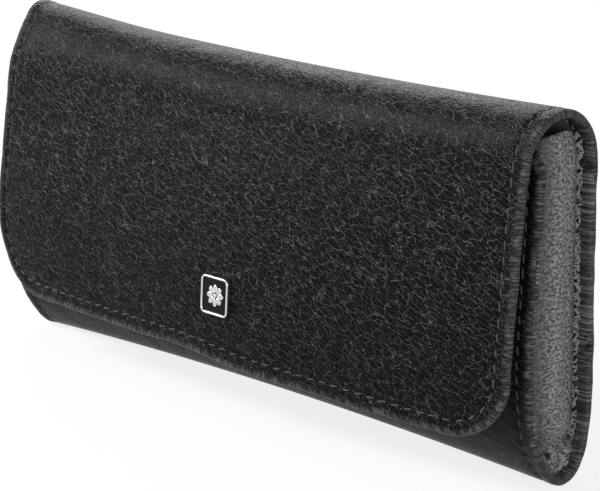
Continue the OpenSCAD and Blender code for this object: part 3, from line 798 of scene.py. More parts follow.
def merged(patches: Iterable[Patch]) -> Patch:
    """Returns one patch that holds several."""
    points, faces, grain, count = [], [], [], 0
    for patch in patches:
        points.append(patch.points)
        faces += [[v + count for v in f] for f in patch.faces]
        grain.append(patch.grain if patch.grain is not None else np.zeros((len(patch.points), 2)))
        count += len(patch.points)
    return Patch(np.vstack(points), faces, grain=np.vstack(grain))


def fit(piece: bpy.types.Object, finish: Finish, body: str, node: str | None = None) -> None:
    """Dresses a piece and sets it on a body.

    Args:
        piece: the piece.
        finish: its finish.
        body: the body that it rides on.
        node: the plain solid that it stands for, if it stands for one.
    """
    finish.dress(piece)
    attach(piece, body)
    if node is not None:
        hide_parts(node)


# ------------------------------------------------------------------ the leather sheet


@dataclass
class Sheet:
    """The one curved sheet that the case and its flap are made of.

    Its outer face is a place x across and s along the profile, which runs from the top of
    the front panel down, round the base, up the back, over the bend and down the flap.
    """

    half_w: float = 74.0
    front_y: float = -6.629
    lean: float = 5.3
    front_top: float = 66.5
    base_h: float = 13.0
    base_line: tuple[tuple[float, float], ...] = (
        (-6.629, 36.0), (-6.629, 30.0), (-6.3, 24.5), (-5.55, 19.5), (-4.35, 14.2), (-2.9, 10.4),
        (-0.9, 6.9), (1.7, 3.5), (4.0, 1.2), (6.3, 0.05), (8.6, 0.1), (10.8, 0.85), (12.7, 2.6),
        (14.1, 5.9), (14.9, 9.6), (15.25, 13.6), (15.02, 18.5), (14.56, 23.5),
    )
    back_top: tuple[float, float] = (10.6278, 65.8329)
    bend_y: float = 0.571
    bend_z: float = 64.9
    bend_r: float = 10.1
    flap_low: float = 11.0
    flap_inset_top: float = 1.7
    flap_inset_low: float = 2.9
    belly: float = 4.7
    belly_at: float = 0.7
    base_arch: float = 1.8
    top_dip: float = 1.4
    end_fullness: float = 0.3
    left_flare: float = 0.9
    left_from: float = 30.0
    left_shift: tuple[tuple[float, float], ...] = (
        (12, -0.8), (20, -1.4), (26, -2.3), (35, -2.4), (41, -1.7), (50, -0.7), (58, 0.0), (63, 0.7),
        (67, 2.2), (72, 3.2), (75, 2.4),
    )
    left_tilt: float = 1.1
    right_tilt: float = 0.6
    middle_tilt: float = 0.9
    softening: float = 0.8
    margin: float = 6.0
    folds: int = 5
    seam_room: float = 3.5

    def __post_init__(self) -> None:
        """Traces the profile and notes its stations."""
        step = 0.05
        line = np.array(self.base_line)
        turn = np.linspace(math.radians(self.lean), math.pi, 500)
        legs = [
            ([self.front_y, self.front_y], [self.front_top, line[1, 1]]),
            tuple(catmull_rom(line).T),
            ([line[-2, 0], self.back_top[0]], [line[-2, 1], self.back_top[1]]),
            (self.bend_y + self.bend_r * np.cos(turn), self.bend_z + self.bend_r * np.sin(turn)),
            ([self.bend_y - self.bend_r] * 2, [self.bend_z, self.flap_low]),
        ]
        ys, zs, marks, total = [], [], [0.0], 0.0
        for y, z in legs:
            y, z = np.asarray(y, float), np.asarray(z, float)
            total += np.hypot(np.diff(y), np.diff(z)).sum()
            marks.append(total)
            ys.append(y)
            zs.append(z)
        y, z = np.concatenate(ys), np.concatenate(zs)
        run = np.concatenate([[0], np.cumsum(np.hypot(np.diff(y), np.diff(z)))])
        keep = np.concatenate([[True], np.diff(run) > 1e-9])
        self.s = np.arange(-self.margin, total + self.margin, step)
        self.y = self._past_ends(self.s, run[keep], y[keep])
        self.z = self._past_ends(self.s, run[keep], z[keep])
        steps = int(3 * self.softening / step)
        reach = np.arange(-steps, steps + 1) * step
        weight = np.exp(-0.5 * (reach / self.softening) ** 2)
        weight /= weight.sum()
        pad = len(reach) // 2
        for name in ("y", "z"):
            line = getattr(self, name)
            line[pad:-pad] = np.convolve(line, weight, mode="valid")
        self.total = total
        self.bend_from, self.bend_to = marks[3], marks[4]
        self.lowest = float(self.s[np.argmin(self.z)])
        self.base_from, self.base_to = self.front_s(self.base_h), self.back_s(self.base_h)
        self.hinges = [self.bend_from + (self.bend_to - self.bend_from) * i / self.folds
                       for i in range(self.folds + 1)]
        middles = [(a + b) / 2 for a, b in zip(self.hinges, self.hinges[1:])]
        self.cuts = [self.hinges[0] - self.seam_room, *middles, self.hinges[-1] + self.seam_room]

    @staticmethod
    def _past_ends(at: Array, known: Array, values: Array) -> Array:
        """Returns values at places, carried on straight past both ends."""
        inside = np.interp(at, known, values)
        first = (values[1] - values[0]) / (known[1] - known[0])
        last = (values[-1] - values[-2]) / (known[-1] - known[-2])
        inside = np.where(at < known[0], values[0] + (at - known[0]) * first, inside)
        return np.where(at > known[-1], values[-1] + (at - known[-1]) * last, inside)

    def width_share(self, s: Array) -> Array:
        """Returns the sheet's half width at s as a share of the widest."""
        over = np.clip((s - self.bend_from) / (self.bend_to - self.bend_from), 0, 1)
        down = np.clip((s - self.bend_to) / (self.total - self.bend_to), 0, 1)
        inset = self.flap_inset_top * over + (self.flap_inset_low - self.flap_inset_top) * down
        return 1 - inset / self.half_w

    def outer(self, x: Array, s: Array) -> Array:
        """Returns the points of the outer face; x is as wide as the widest part."""
        x, s = np.broadcast_arrays(np.asarray(x, float), np.asarray(s, float))
        y, z = np.interp(s, self.s, self.y), np.interp(s, self.s, self.z)
        across = np.clip(x / self.half_w, -1.05, 1.05)
        middle = 1 - across**2
        on_case = 1 - smooth(s, self.bend_from - 20, self.bend_from)
        z = z + self.base_arch * middle * (1 - smooth(z, 0, 22)) * on_case
        z = z - self.top_dip * middle * smooth(z, 48, 72)
        drop = (s - self.bend_to) / (self.total - self.bend_to) / self.belly_at
        eased = np.where(drop < 0.12, np.clip(drop + 0.12, 0, None) ** 2 / 0.48, drop)
        y = y - self.belly * middle * np.sin(math.pi / 2 * np.clip(eased, 0, 1))
        on_flap = smooth(s, self.bend_to, self.bend_to + 6)
        y = y - self.end_fullness * across**2 * np.exp(-(((z - 50) / 13) ** 2)) * on_flap
        left = smooth(-x, self.left_from, self.half_w) ** 1.3
        past = smooth(s, (self.bend_from + self.bend_to) / 2 - 4, self.bend_to - 4)
        heights, shifts = np.array(self.left_shift, float).T
        shift = np.interp(z, heights, shifts) * left * past
        low = (1 - smooth(z, 20, 46)) * on_flap
        tilt = self.left_tilt * smooth(-x, -10, 35) - self.right_tilt * smooth(x, 20, 60)
        tilt = tilt + self.middle_tilt * np.exp(-(((x + 10) / 15) ** 2))
        z = z + self.left_flare * left * smooth(z, 55, 72) + tilt * low
        return np.stack([x * self.width_share(s) + 0.5 * shift, y + 0.55 * shift, z], -1)

    def normal(self, x: Array, s: Array) -> Array:
        """Returns the outward directions of the outer face."""
        step = 0.3
        along = self.outer(x, np.asarray(s) + step) - self.outer(x, np.asarray(s) - step)
        across = self.outer(np.asarray(x) + step, s) - self.outer(np.asarray(x) - step, s)
        return unit(np.cross(along, across))

    def at(self, x: Array, s: Array, depth: Array | float = 0.0) -> Array:
        """Returns points at a depth below the outer face."""
        x, s, depth = np.broadcast_arrays(*(np.asarray(v, float) for v in (x, s, depth)))
        return self.outer(x, s) - self.normal(x, s) * depth[..., None]

    def front_s(self, z: float) -> float:
        """Returns s of the front panel at a height."""
        below = self.s < self.lowest
        return float(np.interp(-z, -self.z[below], self.s[below]))

    def back_s(self, z: float) -> float:
        """Returns s of the back panel at a height."""
        inside = (self.s > self.lowest) & (self.s < self.bend_from)
        return float(np.interp(z, self.z[inside], self.s[inside]))


class Stretch(Enum):
    """The lengths that the sheet is cut into where it bends, with the bodies of each."""

    CASE = ("case", ("case",))
    BEND_1 = ("bend_1", ("case", "fold_1"))
    BEND_2 = ("bend_2", ("fold_1", "fold_2"))
    BEND_3 = ("bend_3", ("fold_2", "fold_3"))
    BEND_4 = ("bend_4", ("fold_3", "fold_4"))
    BEND_5 = ("bend_5", ("fold_4", "fold_5"))
    BEND_6 = ("bend_6", ("fold_5", "flap"))
    FLAP = ("flap", ("flap",))

    @property
    def label(self) -> str:
        """The stretch's name in the names of pieces."""
        return self.value[0]

    @property
    def bodies(self) -> tuple[str, ...]:
        """The body of the stretch, or the two bodies that it lies between."""
        return self.value[1]


@dataclass
class Layers:
    """Cuts layers of the sheet into pieces at the flap's bend."""

    sheet: Sheet
    columns: int = 96
    case_step: float = 0.8
    bend_step: float = 0.5
    flap_step: float = 0.8
    front_corner: float = 3.0
    flap_corner: float = 13.0
    corner_rows: int = 14
    patch_top: float = 5.2

    def __post_init__(self) -> None:
        """Sets out the rows of the grid between the patches at its two free ends."""
        sheet = self.sheet
        low = sheet.total - self.flap_corner - 0.2
        stops = [self.patch_top, *sheet.cuts, low]
        steps = [self.case_step] + [self.bend_step] * 6 + [self.flap_step]
        rows = [np.array([self.patch_top])]
        for a, b, step in zip(stops, stops[1:], steps):
            count = max(2, round((b - a) / step))
            rows.append(np.linspace(a, b, count + 1)[1:])
        self.straight = np.concatenate(rows)

    def corner_path(self, inset: float, end: bool) -> tuple[Array, Array]:
        """Returns one side's path round a free corner.

        Args:
            inset: distance from the sheet's edge.
            end: whether the corner is at the flap's end, not the front panel's top.

        Returns:
            Points (w, s) of the side part, down to the corner's middle, and of the half of
            the free edge that follows, where w is the distance from the widest side edge.
        """
        sheet = self.sheet
        radius = max((self.flap_corner if end else self.front_corner) - inset, 0.4)
        start = self.straight[-1] if end else self.straight[0]
        tip = sheet.total - inset if end else inset
        sign = 1 if end else -1
        angles = np.linspace(0, math.pi / 2, 41)
        w = inset + radius * (1 - np.cos(angles))
        s = tip - sign * radius * (1 - np.sin(angles))
        half = len(angles) // 2
        side = np.column_stack([np.append(inset, w[:half + 1]), np.append(start, s[:half + 1])])
        edge = np.column_stack([np.append(w[half:], sheet.half_w), np.append(s[half:], tip)])
        return side, edge

    @staticmethod
    def even(path: Array, count: int) -> Array:
        """Returns count + 1 points at even distances along a path."""
        lengths = np.concatenate([[0], np.cumsum(np.hypot(*np.diff(path, axis=0).T))])
        at = np.linspace(0, lengths[-1], count + 1)
        return np.column_stack([np.interp(at, lengths, path[:, i]) for i in range(2)])

    def free_end(self, inset: float, end: bool) -> tuple[Array, Array, Array]:
        """Returns the left side, free edge and right side (x, s) of an end's patch."""
        side, edge = self.corner_path(inset, end)
        half_w = self.sheet.half_w
        mirrored = np.column_stack([2 * half_w - edge[-2::-1, 0], edge[-2::-1, 1]])
        left = self.even(side, self.corner_rows)
        free = self.even(np.vstack([edge, mirrored]), self.columns)
        right = np.column_stack([half_w - left[:, 0], left[:, 1]])
        left, free = (np.column_stack([p[:, 0] - half_w, p[:, 1]]) for p in (left, free))
        return left, free, right

    def grid(self, inset: float) -> tuple[Array, Array]:
        """Returns x and s of the grid whose edge lies at that inset."""
        parts = []
        for end in (False, True):
            left, free, right = self.free_end(inset, end)
            u = np.linspace(0, 1, self.columns + 1)[None, :, None]
            v = np.linspace(0, 1, self.corner_rows + 1)[:, None, None]
            top = np.column_stack([np.linspace(left[0, 0], right[0, 0], self.columns + 1),
                                   np.full(self.columns + 1, left[0, 1])])
            coons = ((1 - v) * top[None] + v * free[None] + (1 - u) * left[:, None] + u * right[:, None]
                     - (1 - u) * (1 - v) * top[0] - u * (1 - v) * top[-1]
                     - (1 - u) * v * free[0] - u * v * free[-1])
            parts.append(coons)
        across = np.linspace(-(self.sheet.half_w - inset), self.sheet.half_w - inset, self.columns + 1)
        middle = np.stack(np.broadcast_arrays(across[None, :], self.straight[1:-1, None]), -1)
        whole = np.concatenate([parts[0][::-1], middle, parts[1]])
        return whole[..., 0], whole[..., 1]

    def loop(self, inset: float) -> tuple[Array, Array]:
        """Returns x and s once round at that inset, in the order of the grid's rim."""
        x, s = self.grid(inset)
        rim = rim_order(*x.shape)
        return x.ravel()[rim], s.ravel()[rim]

    def stretch_of(self, faces: list, s: Array) -> Array:
        """Returns the number of the stretch that each face lies in."""
        middles = np.array([s[f].mean() for f in faces])
        return np.searchsorted(np.array(self.sheet.cuts), middles)

    def cut(self, patch: Patch, s: Array, name: str) -> dict[Stretch, bpy.types.Object]:
        """Cuts a layer where the flap bends and makes its pieces.

        Args:
            patch: the whole layer.
            s: the place along the profile of each of its points.
            name: what the pieces' names begin with.

        Returns:
            The piece of each stretch.
        """
        numbers = self.stretch_of(patch.faces, s)
        made = {}
        for number, stretch in enumerate(Stretch):
            chosen = np.nonzero(numbers == number)[0]
            if len(chosen):
                made[stretch] = patch.part(chosen).make(f"{name}_{stretch.label}")
                self.attach(made[stretch], stretch)
        return made

    def attach(self, piece: bpy.types.Object, stretch: Stretch) -> None:
        """Sets a piece on its stretch's body; a piece between two bodies is only baked where it lies."""
        if len(stretch.bodies) == 1:
            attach(piece, stretch.bodies[0])
            return
        start, end = self.turning_room(stretch)
        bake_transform(piece)

    def turning_room(self, stretch: Stretch) -> tuple[Vector, Vector]:
        """Returns the points between which a bending stretch turns, in metres."""
        number = list(Stretch).index(stretch)
        x = np.linspace(-self.sheet.half_w, self.sheet.half_w, 9)
        depth = np.array([0.0, 1.0, 2.0])
        first, last = (self.sheet.at(x[:, None], self.sheet.cuts[i], depth[None, :]).reshape(-1, 3)
                       for i in (number - 1, number))
        a, b = first.mean(0), last.mean(0)
        a[0] = b[0] = 0.0
        ahead = unit(b - a)
        low, high = ((first - a) @ ahead).max(), ((last - a) @ ahead).min()
        return Vector((a + ahead * low) * MM), Vector((a + ahead * high) * MM)


# ------------------------------------------------------------------ case and flap


@dataclass
class LeatherShell:
    """The case's leather: outer face, puffed and turned edges, and inner face."""

    layers: Layers
    thickness: float = 1.0
    edge_thickness: float = 1.8
    stitch_inset: float = 3.2
    stitch_pitch: float = 3.0
    groove: float = 0.17
    inner_inset: float = 4.6
    far_in: float = 9.0
    pucker: float = 0.09
    puff: float = 0.06
    waver: float = 0.14
    swell: float = 0.12

    def profile(self) -> list[tuple[float, float]]:
        """Returns (inset, depth) across a turned edge, from the outer face to the inner."""
        radius, line = self.edge_thickness / 2, self.stitch_inset
        outer = [(line + 0.9, 0.0), (line + 0.45, self.groove * 0.4), (line, self.groove),
                 (line - 0.45, self.groove * 0.4), (2.25, -0.02), (1.7, -0.05), (1.25, -0.03), (0.95, 0.0)]
        turn = [(radius * (1 - math.cos(a)), radius * (1 - math.sin(a)))
                for a in np.radians([72, 50, 26, 0, -26, -50, -72])]
        full, end = self.edge_thickness, line + 0.8
        inner = [(1.1, full), (2.0, full + 0.04), (2.8, full + 0.04), (3.4, full), (end - 0.12, full - 0.1),
                 (end, full - 0.3), (end + 0.02, self.thickness + 0.1), (end + 0.3, self.thickness)]
        return outer + turn + inner

    def seam(self) -> tuple[Array, Array, Array]:
        """Returns x, s and the run, in millimetres, once round on the stitch line."""
        x, s = self.layers.loop(self.stitch_inset)
        points = self.layers.sheet.at(x, s)
        steps = np.linalg.norm(np.roll(points, -1, 0) - points, axis=1)
        run = np.concatenate([[0], np.cumsum(steps)])
        scale = round(run[-1] / self.stitch_pitch) * self.stitch_pitch / run[-1]
        return np.append(x, x[0]), np.append(s, s[0]), run * scale

    def patch(self) -> tuple[Patch, Array]:
        """Returns the whole leather and the place s of its points."""
        sheet, layers = self.layers.sheet, self.layers
        gx, gs = layers.grid(self.inner_inset)
        rim = np.array(rim_order(*gx.shape))
        run = self.seam()[2][:-1]
        points = [sheet.at(gx, gs).reshape(-1, 3)]
        flat = [np.stack([gx, gs], -1).reshape(-1, 2)]
        places = [gs.ravel()]
        edge = [np.full(gx.size, self.far_in)]
        runs = [np.zeros(gx.size)]
        runs[0][rim] = run
        away = unit(sheet.at(*layers.loop(0.0)) - sheet.at(*layers.loop(1.0)))
        beat = np.cos(2 * math.pi * run / self.stitch_pitch)
        for inset, depth in self.profile():
            x, s = layers.loop(inset)
            near_edge = 1 - smooth(inset, 1.0, 4.4)
            pucker = self.pucker * math.exp(-(((inset - self.stitch_inset) / 0.9) ** 2))
            gather = pucker * (0.5 + 0.5 * beat)
            puff = self.puff * beat * math.exp(-(((inset - 1.4) / 0.9) ** 2))
            drift = self.swell * wave(run, 11, 17.0) * near_edge
            sign = 1.0 if depth < self.edge_thickness / 2 else -1.0
            place = sheet.at(x, s, depth + sign * (gather - puff) + drift)
            points.append(place + away * (self.waver * wave(run, 5, 7.0) * near_edge)[:, None])
            flat.append(np.column_stack([x, s]))
            places.append(s)
            edge.append(np.full(len(x), inset if depth < self.edge_thickness * 0.9 else inset * 0.6))
            runs.append(run)
        points.append(sheet.at(gx, gs, self.thickness).reshape(-1, 3))
        for values in (flat, places, edge, runs):
            values.append(values[0])
        points = np.vstack(points)
        faces = self._faces(*gx.shape, rim)
        patch = Patch(points, faces, point_normals(points, faces), np.vstack(flat),
                      np.concatenate(edge), np.concatenate(runs))
        return patch, np.concatenate(places)

    def _faces(self, rows: int, columns: int, rim: Array) -> list[list[int]]:
        """Returns the faces of the outer grid, the rings of the turned edge and the inner grid."""
        start, around, rings = rows * columns, len(rim), len(self.profile())
        end = start + rings * around
        circles = [rim, *np.arange(start, end).reshape(rings, around), rim + end]
        faces = grid_quads(rows, columns, flip=True)
        for one, two in zip(circles, circles[1:]):
            for i in range(around):
                j = (i + 1) % around
                faces.append([int(one[j]), int(one[i]), int(two[i]), int(two[j])])
        return faces + grid_quads(rows, columns, end)

    def build(self, leather: Finish) -> None:
        """Makes the leather's pieces in the place of the plain ones."""
        patch, s = self.patch()
        made = self.layers.cut(patch, s, "leather")
        leather.dress(*made.values())
        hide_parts("outer_leather")
        for number, stretch in enumerate(list(Stretch)[1:6], 1):
            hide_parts(f"flap_fold_{number}")
        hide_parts("flap_leather")
        LOG.info("leather: %d pieces", len(made))


@dataclass
class SeamStitches:
    """Thread that holds the turned edges, as single slanting stitches."""

    shell: LeatherShell
    length: float = 2.25
    radius: float = 0.17
    slant: float = 0.16
    rings: int = 7
    dive: float = 0.42

    def build(self, thread: Finish) -> None:
        """Makes the thread of each stretch, whose stitches dive in at both ends."""
        x, s, run = self.shell.seam()
        sheet, pitch = self.shell.layers.sheet, self.shell.stitch_pitch
        found: dict[Stretch, list[Patch]] = {}
        draw = np.random.default_rng(21)
        half = self.length / 2
        u = np.linspace(-1, 1, self.rings)
        for middle in np.arange(pitch / 2, run[-1], pitch):
            at = middle + u * half * draw.uniform(0.94, 1.04)
            sx, ss = np.interp(at, run, x), np.interp(at, run, s)
            stretch = list(Stretch)[int(np.searchsorted(sheet.cuts, ss[self.rings // 2]))]
            normal = sheet.normal(sx, ss)
            ahead = unit(np.gradient(sheet.outer(sx, ss), axis=0))
            aside = np.cross(normal, ahead) * (u * self.slant + draw.normal(0, 0.03))[:, None]
            swell = self.radius * np.sqrt(np.clip(1.04 - u**4, 0.02, 1)) * draw.uniform(0.95, 1.08)
            depths = [self.shell.groove - 0.04 + self.dive * u**4]
            if stretch is not Stretch.CASE:
                depths.append(self.shell.edge_thickness + 0.1 - self.dive * u**4)
            for depth in depths:
                tube = stitch(sheet.at(sx, ss, depth) + aside, normal, swell)
                found.setdefault(stretch, []).append(tube)
        for stretch, tubes in found.items():
            piece = merged(tubes).make(f"thread_{stretch.label}")
            thread.dress(piece)
            self.shell.layers.attach(piece, stretch)
        LOG.info("edge thread: %d stitches", sum(len(t) for t in found.values()))


@dataclass
class PleatedTurn:
    """Leather turned in over one side edge, drawn into small pleats."""

    sheet: Sheet
    step: float = 0.32
    pitch: float = 1.25
    height: float = 0.24
    base_height: float = 0.34
    back: float = 0.3
    profile: tuple[tuple[float, float, float], ...] = (
        (0.10, 0.62, 0.0), (0.02, 0.86, 0.15), (0.03, 1.12, 0.45), (0.16, 1.42, 0.8), (0.42, 1.68, 1.0),
        (0.85, 1.82, 1.0), (1.4, 1.88, 0.95), (2.0, 1.9, 0.9), (2.6, 1.9, 0.85), (3.2, 1.88, 0.8),
        (3.7, 1.82, 0.7), (4.05, 1.7, 0.5),
    )

    def build(self, name: str, side: int, node: str, leather: Finish) -> None:
        """Makes one side's turned-in strip.

        Args:
            name: the piece's name.
            side: 1 for the right edge and -1 for the left.
            node: the plain solid that it stands for.
            leather: its finish.
        """
        sheet = self.sheet
        s = np.arange(4.2, sheet.cuts[0] - 0.2, self.step)[:, None]
        inset, depth, share = (np.array(v)[None, :] for v in zip(*self.profile))
        lean = inset * 0.35 * wave(s, 31 + side, 9.0) + 0.35 * wave(s, 41 + side, 5.0)
        ridge = 1 - np.abs(np.sin(math.pi * (s + lean) / self.pitch)) ** 0.8
        after_front = smooth(s, sheet.base_from - 7, sheet.base_from + 3)
        strong = after_front * (1 - smooth(s, sheet.base_to - 3, sheet.base_to + 8))
        size = self.height + (self.base_height - self.height) * strong
        size = size * (0.65 + 0.35 * wave(s, 51 + side, 6.0))
        relief = size * ridge * share
        front = sheet.at(side * (sheet.half_w - inset), s, depth + relief * smooth(depth, 0.8, 1.8))
        front[..., 0] += side * relief * (1 - smooth(inset, 0.2, 1.0)) * 0.7
        behind = sheet.at(side * (sheet.half_w - inset - self.back), s, depth - self.back)
        grain = np.stack(np.broadcast_arrays(inset + 2 * depth, s), -1)
        if side > 0:
            front, behind, grain = (a[:, ::-1] for a in (front, behind, grain))
        strip = slab(front, behind, grain)
        # Small edge values put the leather's painted rim highlight and ticks over the whole strip.
        strip.edge, strip.run = 0.4 + strip.grain[:, 0] * 0.06, strip.grain[:, 1]
        fit(strip.make(name), leather, "case", node)
        LOG.info("%s: turned-in strip", name)


@dataclass
class Stiffening:
    """Boards between the leather and the lining, bent with the sheet."""

    layers: Layers
    inset: float = 4.2
    top: float = 1.04
    low: float = 1.78
    gap: float = 0.6

    def band(self, s0: float, s1: float, step: float = 1.5) -> Patch:
        """Returns a board between two places along the profile."""
        sheet = self.layers.sheet
        reach = sheet.half_w - self.inset
        x = np.linspace(-reach, reach, 50)[None, :]
        s = np.linspace(s0, s1, max(2, round((s1 - s0) / step)) + 1)[:, None]
        return slab(sheet.at(x, s, self.low), sheet.at(x, s, self.top))

    def build(self, board: Finish) -> None:
        """Makes the four boards."""
        sheet = self.layers.sheet
        fold = sheet.base_h + self.gap
        spans = {
            "front_stiffener": (self.inset, sheet.front_s(fold), "front_board"),
            "base_board": (sheet.base_from + 0.4, sheet.base_to - 0.4, "base_stiffener"),
            "back_stiffener": (sheet.back_s(fold), sheet.cuts[0] - 0.2, "back_board"),
        }
        for name, (s0, s1, node) in spans.items():
            fit(self.band(s0, s1).make(name), board, "case", node)
        x, s = self.layers.grid(self.inset)
        rows = s[:, self.layers.columns // 2] > sheet.cuts[-1] + 0.2
        flap = slab(sheet.at(x[rows], s[rows], self.low), sheet.at(x[rows], s[rows], self.top))
        fit(flap.make("flap_stiffener"), board, "flap", "flap_board")
        LOG.info("stiffening: 4 boards")


@dataclass
class Lining:
    """Cloth lining, thinner under the bend where there is no board."""

    layers: Layers
    inset: float = 4.12
    leather: float = 1.02
    board: float = 0.78
    thickness: float = 0.6

    def build(self, cloth: Finish) -> None:
        """Makes the lining of each stretch."""
        sheet = self.layers.sheet
        x, s = self.layers.grid(self.inset)
        first, last = sheet.hinges[0], sheet.hinges[-1]
        over = smooth(s, first - 2, first + 1.5) * (1 - smooth(s, last - 1.5, last + 2))
        outer = self.leather + self.board * (1 - over)
        tuft = 0.05 * wave(x * 0.7 + s * 0.4, 3, 9.0)
        front, back = sheet.at(x, s, outer + self.thickness + tuft), sheet.at(x, s, outer)
        patch = slab(front, back, np.stack([x, s], -1))
        made = self.layers.cut(patch, np.tile(s.ravel(), 2), "lining")
        cloth.dress(*made.values())
        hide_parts("case_lining")
        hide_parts("flap_lining")
        LOG.info("lining: %d pieces", len(made))


# ------------------------------------------------------------------ gussets


@dataclass
class Gusset:
    """A bulging side wall of supple leather, with the bulky seam that holds it."""

    sheet: Sheet
    side: int
    inset: float = 3.5
    depth: float = 1.98
    foot_z: float = 6.0
    front_top_z: float = 69.6
    back_top: tuple[float, float] = (6.1, 69.2)
    bulge: float = 3.0
    fold: float = 0.5
    thickness: float = 0.9
    width: float = 16.0
    height: float = 64.0
    rows: int = 84
    columns: int = 40
    gather_rows: int = 16
    gather_columns: int = 60
    seam_pitch: float = 2.9
    seam_loops: int = 8
    seam_radius: float = 0.25

    def edges(self, v: Array) -> tuple[Array, Array]:
        """Returns the front and rear edge's points at heights v from 0 to 1."""
        sheet, x = self.sheet, self.side * (self.sheet.half_w - self.inset)
        front_z = self.foot_z + (self.front_top_z - self.foot_z) * v
        s = np.array([sheet.front_s(min(z, sheet.front_top + 4)) for z in front_z])
        front = sheet.at(x, np.maximum(s, -5.0), self.depth)
        top_y, top_z = self.back_top
        turn = math.atan2(top_z - sheet.bend_z, top_y - sheet.bend_y)
        last = sheet.bend_from + turn * sheet.bend_r
        first = sheet.back_s(self.foot_z + 1.0)
        s = first + (last - 1.0 - first) * v
        return front, sheet.at(x, s, self.depth + 0.15)

    def face(self, lift: float = 0.0) -> tuple[Array, Array]:
        """Returns the points of the wall, shifted inwards by lift, and their grain map."""
        v = np.linspace(0, 1, self.rows)
        front, rear = self.edges(v)
        t = np.linspace(0, 1, self.columns)[None, :, None]
        wall = front[:, None] * (1 - t) + rear[:, None] * t
        t, v = t[..., 0], v[:, None]
        crown = np.sin(math.pi * t**0.86) ** 0.75
        crease = np.exp(-(((t - 0.60 - 0.05 * np.sin(3 * v + 1)) / 0.13) ** 2)) * smooth(v, 0.0, 0.3)
        hollow = np.exp(-(((t - 0.93) / 0.05) ** 2))
        sway = 0.18 * wave(v * 64 + 9 * t, 61, 13.0) * np.sin(math.pi * t)
        pinch = 0.45 + 0.55 * smooth(v, 0.0, 0.08) * (1 - 0.35 * smooth(v, 0.9, 1.0))
        pucker = 0.16 * np.cos(2 * math.pi * v * 22) * np.exp(-(((t - 0.96) / 0.09) ** 2))
        out = self.bulge * crown * pinch - self.fold * crease + sway - 0.3 * hollow + pucker
        wall[..., 0] += self.side * (out - lift)
        wall[..., 2] += np.sin(math.pi * np.clip(t, 0, 1)) * smooth(v, 0.85, 1.0)
        grain = np.stack(np.broadcast_arrays(t * self.width, v * self.height), -1)
        return wall, grain

    def closed(self, outer: Array, inner: Array, grain: Array) -> Patch:
        """Joins the two faces of a sheet on this side of the case into a closed piece."""
        if self.side < 0:
            outer, inner, grain = (a[:, ::-1] for a in (outer, inner, grain))
        return slab(outer[::-1], inner[::-1], grain[::-1])

    def gather(self) -> Patch:
        """Returns the crumpled leather between the wall's foot and the base."""
        sheet = self.sheet
        t = np.linspace(0, 1, self.gather_columns)
        first, last = sheet.front_s(self.foot_z + 1.5), sheet.back_s(self.foot_z + 3.0)
        low = sheet.at(self.side * (sheet.half_w - 2.6), first + (last - first) * t, 1.75)
        front, rear = self.edges(np.zeros(1))
        high = front[0] + (rear[0] - front[0]) * t[:, None] + [0, 0, 0.7]
        v = np.linspace(0, 1, self.gather_rows)[:, None]
        face = low[None] * (1 - v[..., None]) + high[None] * v[..., None]
        along = t[None, :] * 14
        folds = 0.42 * wave(along + 0.9 * wave(v * 5, 83, 2.2), 81, 1.5) * (0.35 + np.sin(math.pi * v))
        hole = 1.5 * np.exp(-(((t[None, :] - 0.22) / 0.10) ** 2) - ((v - 0.55) / 0.3) ** 2)
        bulk = 1.1 * np.sin(math.pi * t[None, :]) ** 0.5 * (0.4 + 0.6 * v)
        face[..., 0] += self.side * (folds + bulk - hole)
        behind = face.copy()
        behind[..., 0] -= self.side * 0.7
        grain = np.stack(np.broadcast_arrays(along, v * 5 + 90), -1)
        return self.closed(face, behind, grain)

    def build(self, node: str, leather: Finish, thread: Finish) -> None:
        """Makes the wall and its seam.

        Args:
            node: the plain solid that the wall stands for.
            leather: the wall's finish.
            thread: the seam's finish.
        """
        outer, grain = self.face()
        inner, _ = self.face(self.thickness)
        wall = self.closed(outer, inner, grain).make(f"{node}_wall")
        fit(wall, leather, "case", node)
        foot = self.gather().make(f"{node}_gather")
        fit(foot, leather, "case")
        seam = merged(self.seam_parts()).make(f"{node}_seam")
        fit(seam, thread, "case")
        LOG.info("%s: wall, gathered foot and seam", node)

    def seam_parts(self) -> list[Patch]:
        """Returns the crossing loops of thread along the rear edge."""
        draw = np.random.default_rng(71 + self.side)
        _, rear = self.edges(np.linspace(0, 1, 400))
        run = np.concatenate([[0], np.cumsum(np.linalg.norm(np.diff(rear, axis=0), axis=1))])
        out = np.array([self.side, 0.0, 0.0])
        parts = []
        u = np.linspace(-1, 1, 7)
        for middle in np.arange(0.5, run[-1] - 0.3, self.seam_pitch / self.seam_loops):
            at, after = (np.array([np.interp(place, run, rear[:, i]) for i in range(3)])
                         for place in (middle, middle + 0.5))
            ahead = unit(after - at)
            inward = unit(np.cross(out, ahead)) * self.side
            tilt = draw.uniform(-1.5, 1.5)
            half = draw.uniform(0.6, 1.3)
            centre = at + inward * draw.uniform(-1.25, 1.25) + out * draw.uniform(0.25, 0.8)
            path = (centre + np.outer(u * half, ahead * math.cos(tilt) + inward * math.sin(tilt))
                    + np.outer(0.45 * (1 - u**2) - 0.2, out))
            size = self.seam_radius * np.sqrt(np.clip(1.05 - u**4, 0.03, 1))
            parts.append(stitch(path, out, size * draw.uniform(0.7, 1.15)))
        return parts


# ------------------------------------------------------------------ badge


def rounded_outline(half_w: float, half_h: float, radius: float, count: int = 12) -> Array:
    """Returns the points of a rounded rectangle, anticlockwise in x and z."""
    points = []
    for quarter, (sx, sz) in enumerate([(1, 1), (-1, 1), (-1, -1), (1, -1)]):
        for i in range(count + 1):
            a = math.pi / 2 * (quarter + i / count)
            x = sx * (half_w - radius) + radius * math.cos(a)
            points.append((x, sz * (half_h - radius) + radius * math.sin(a)))
    return np.array(points)


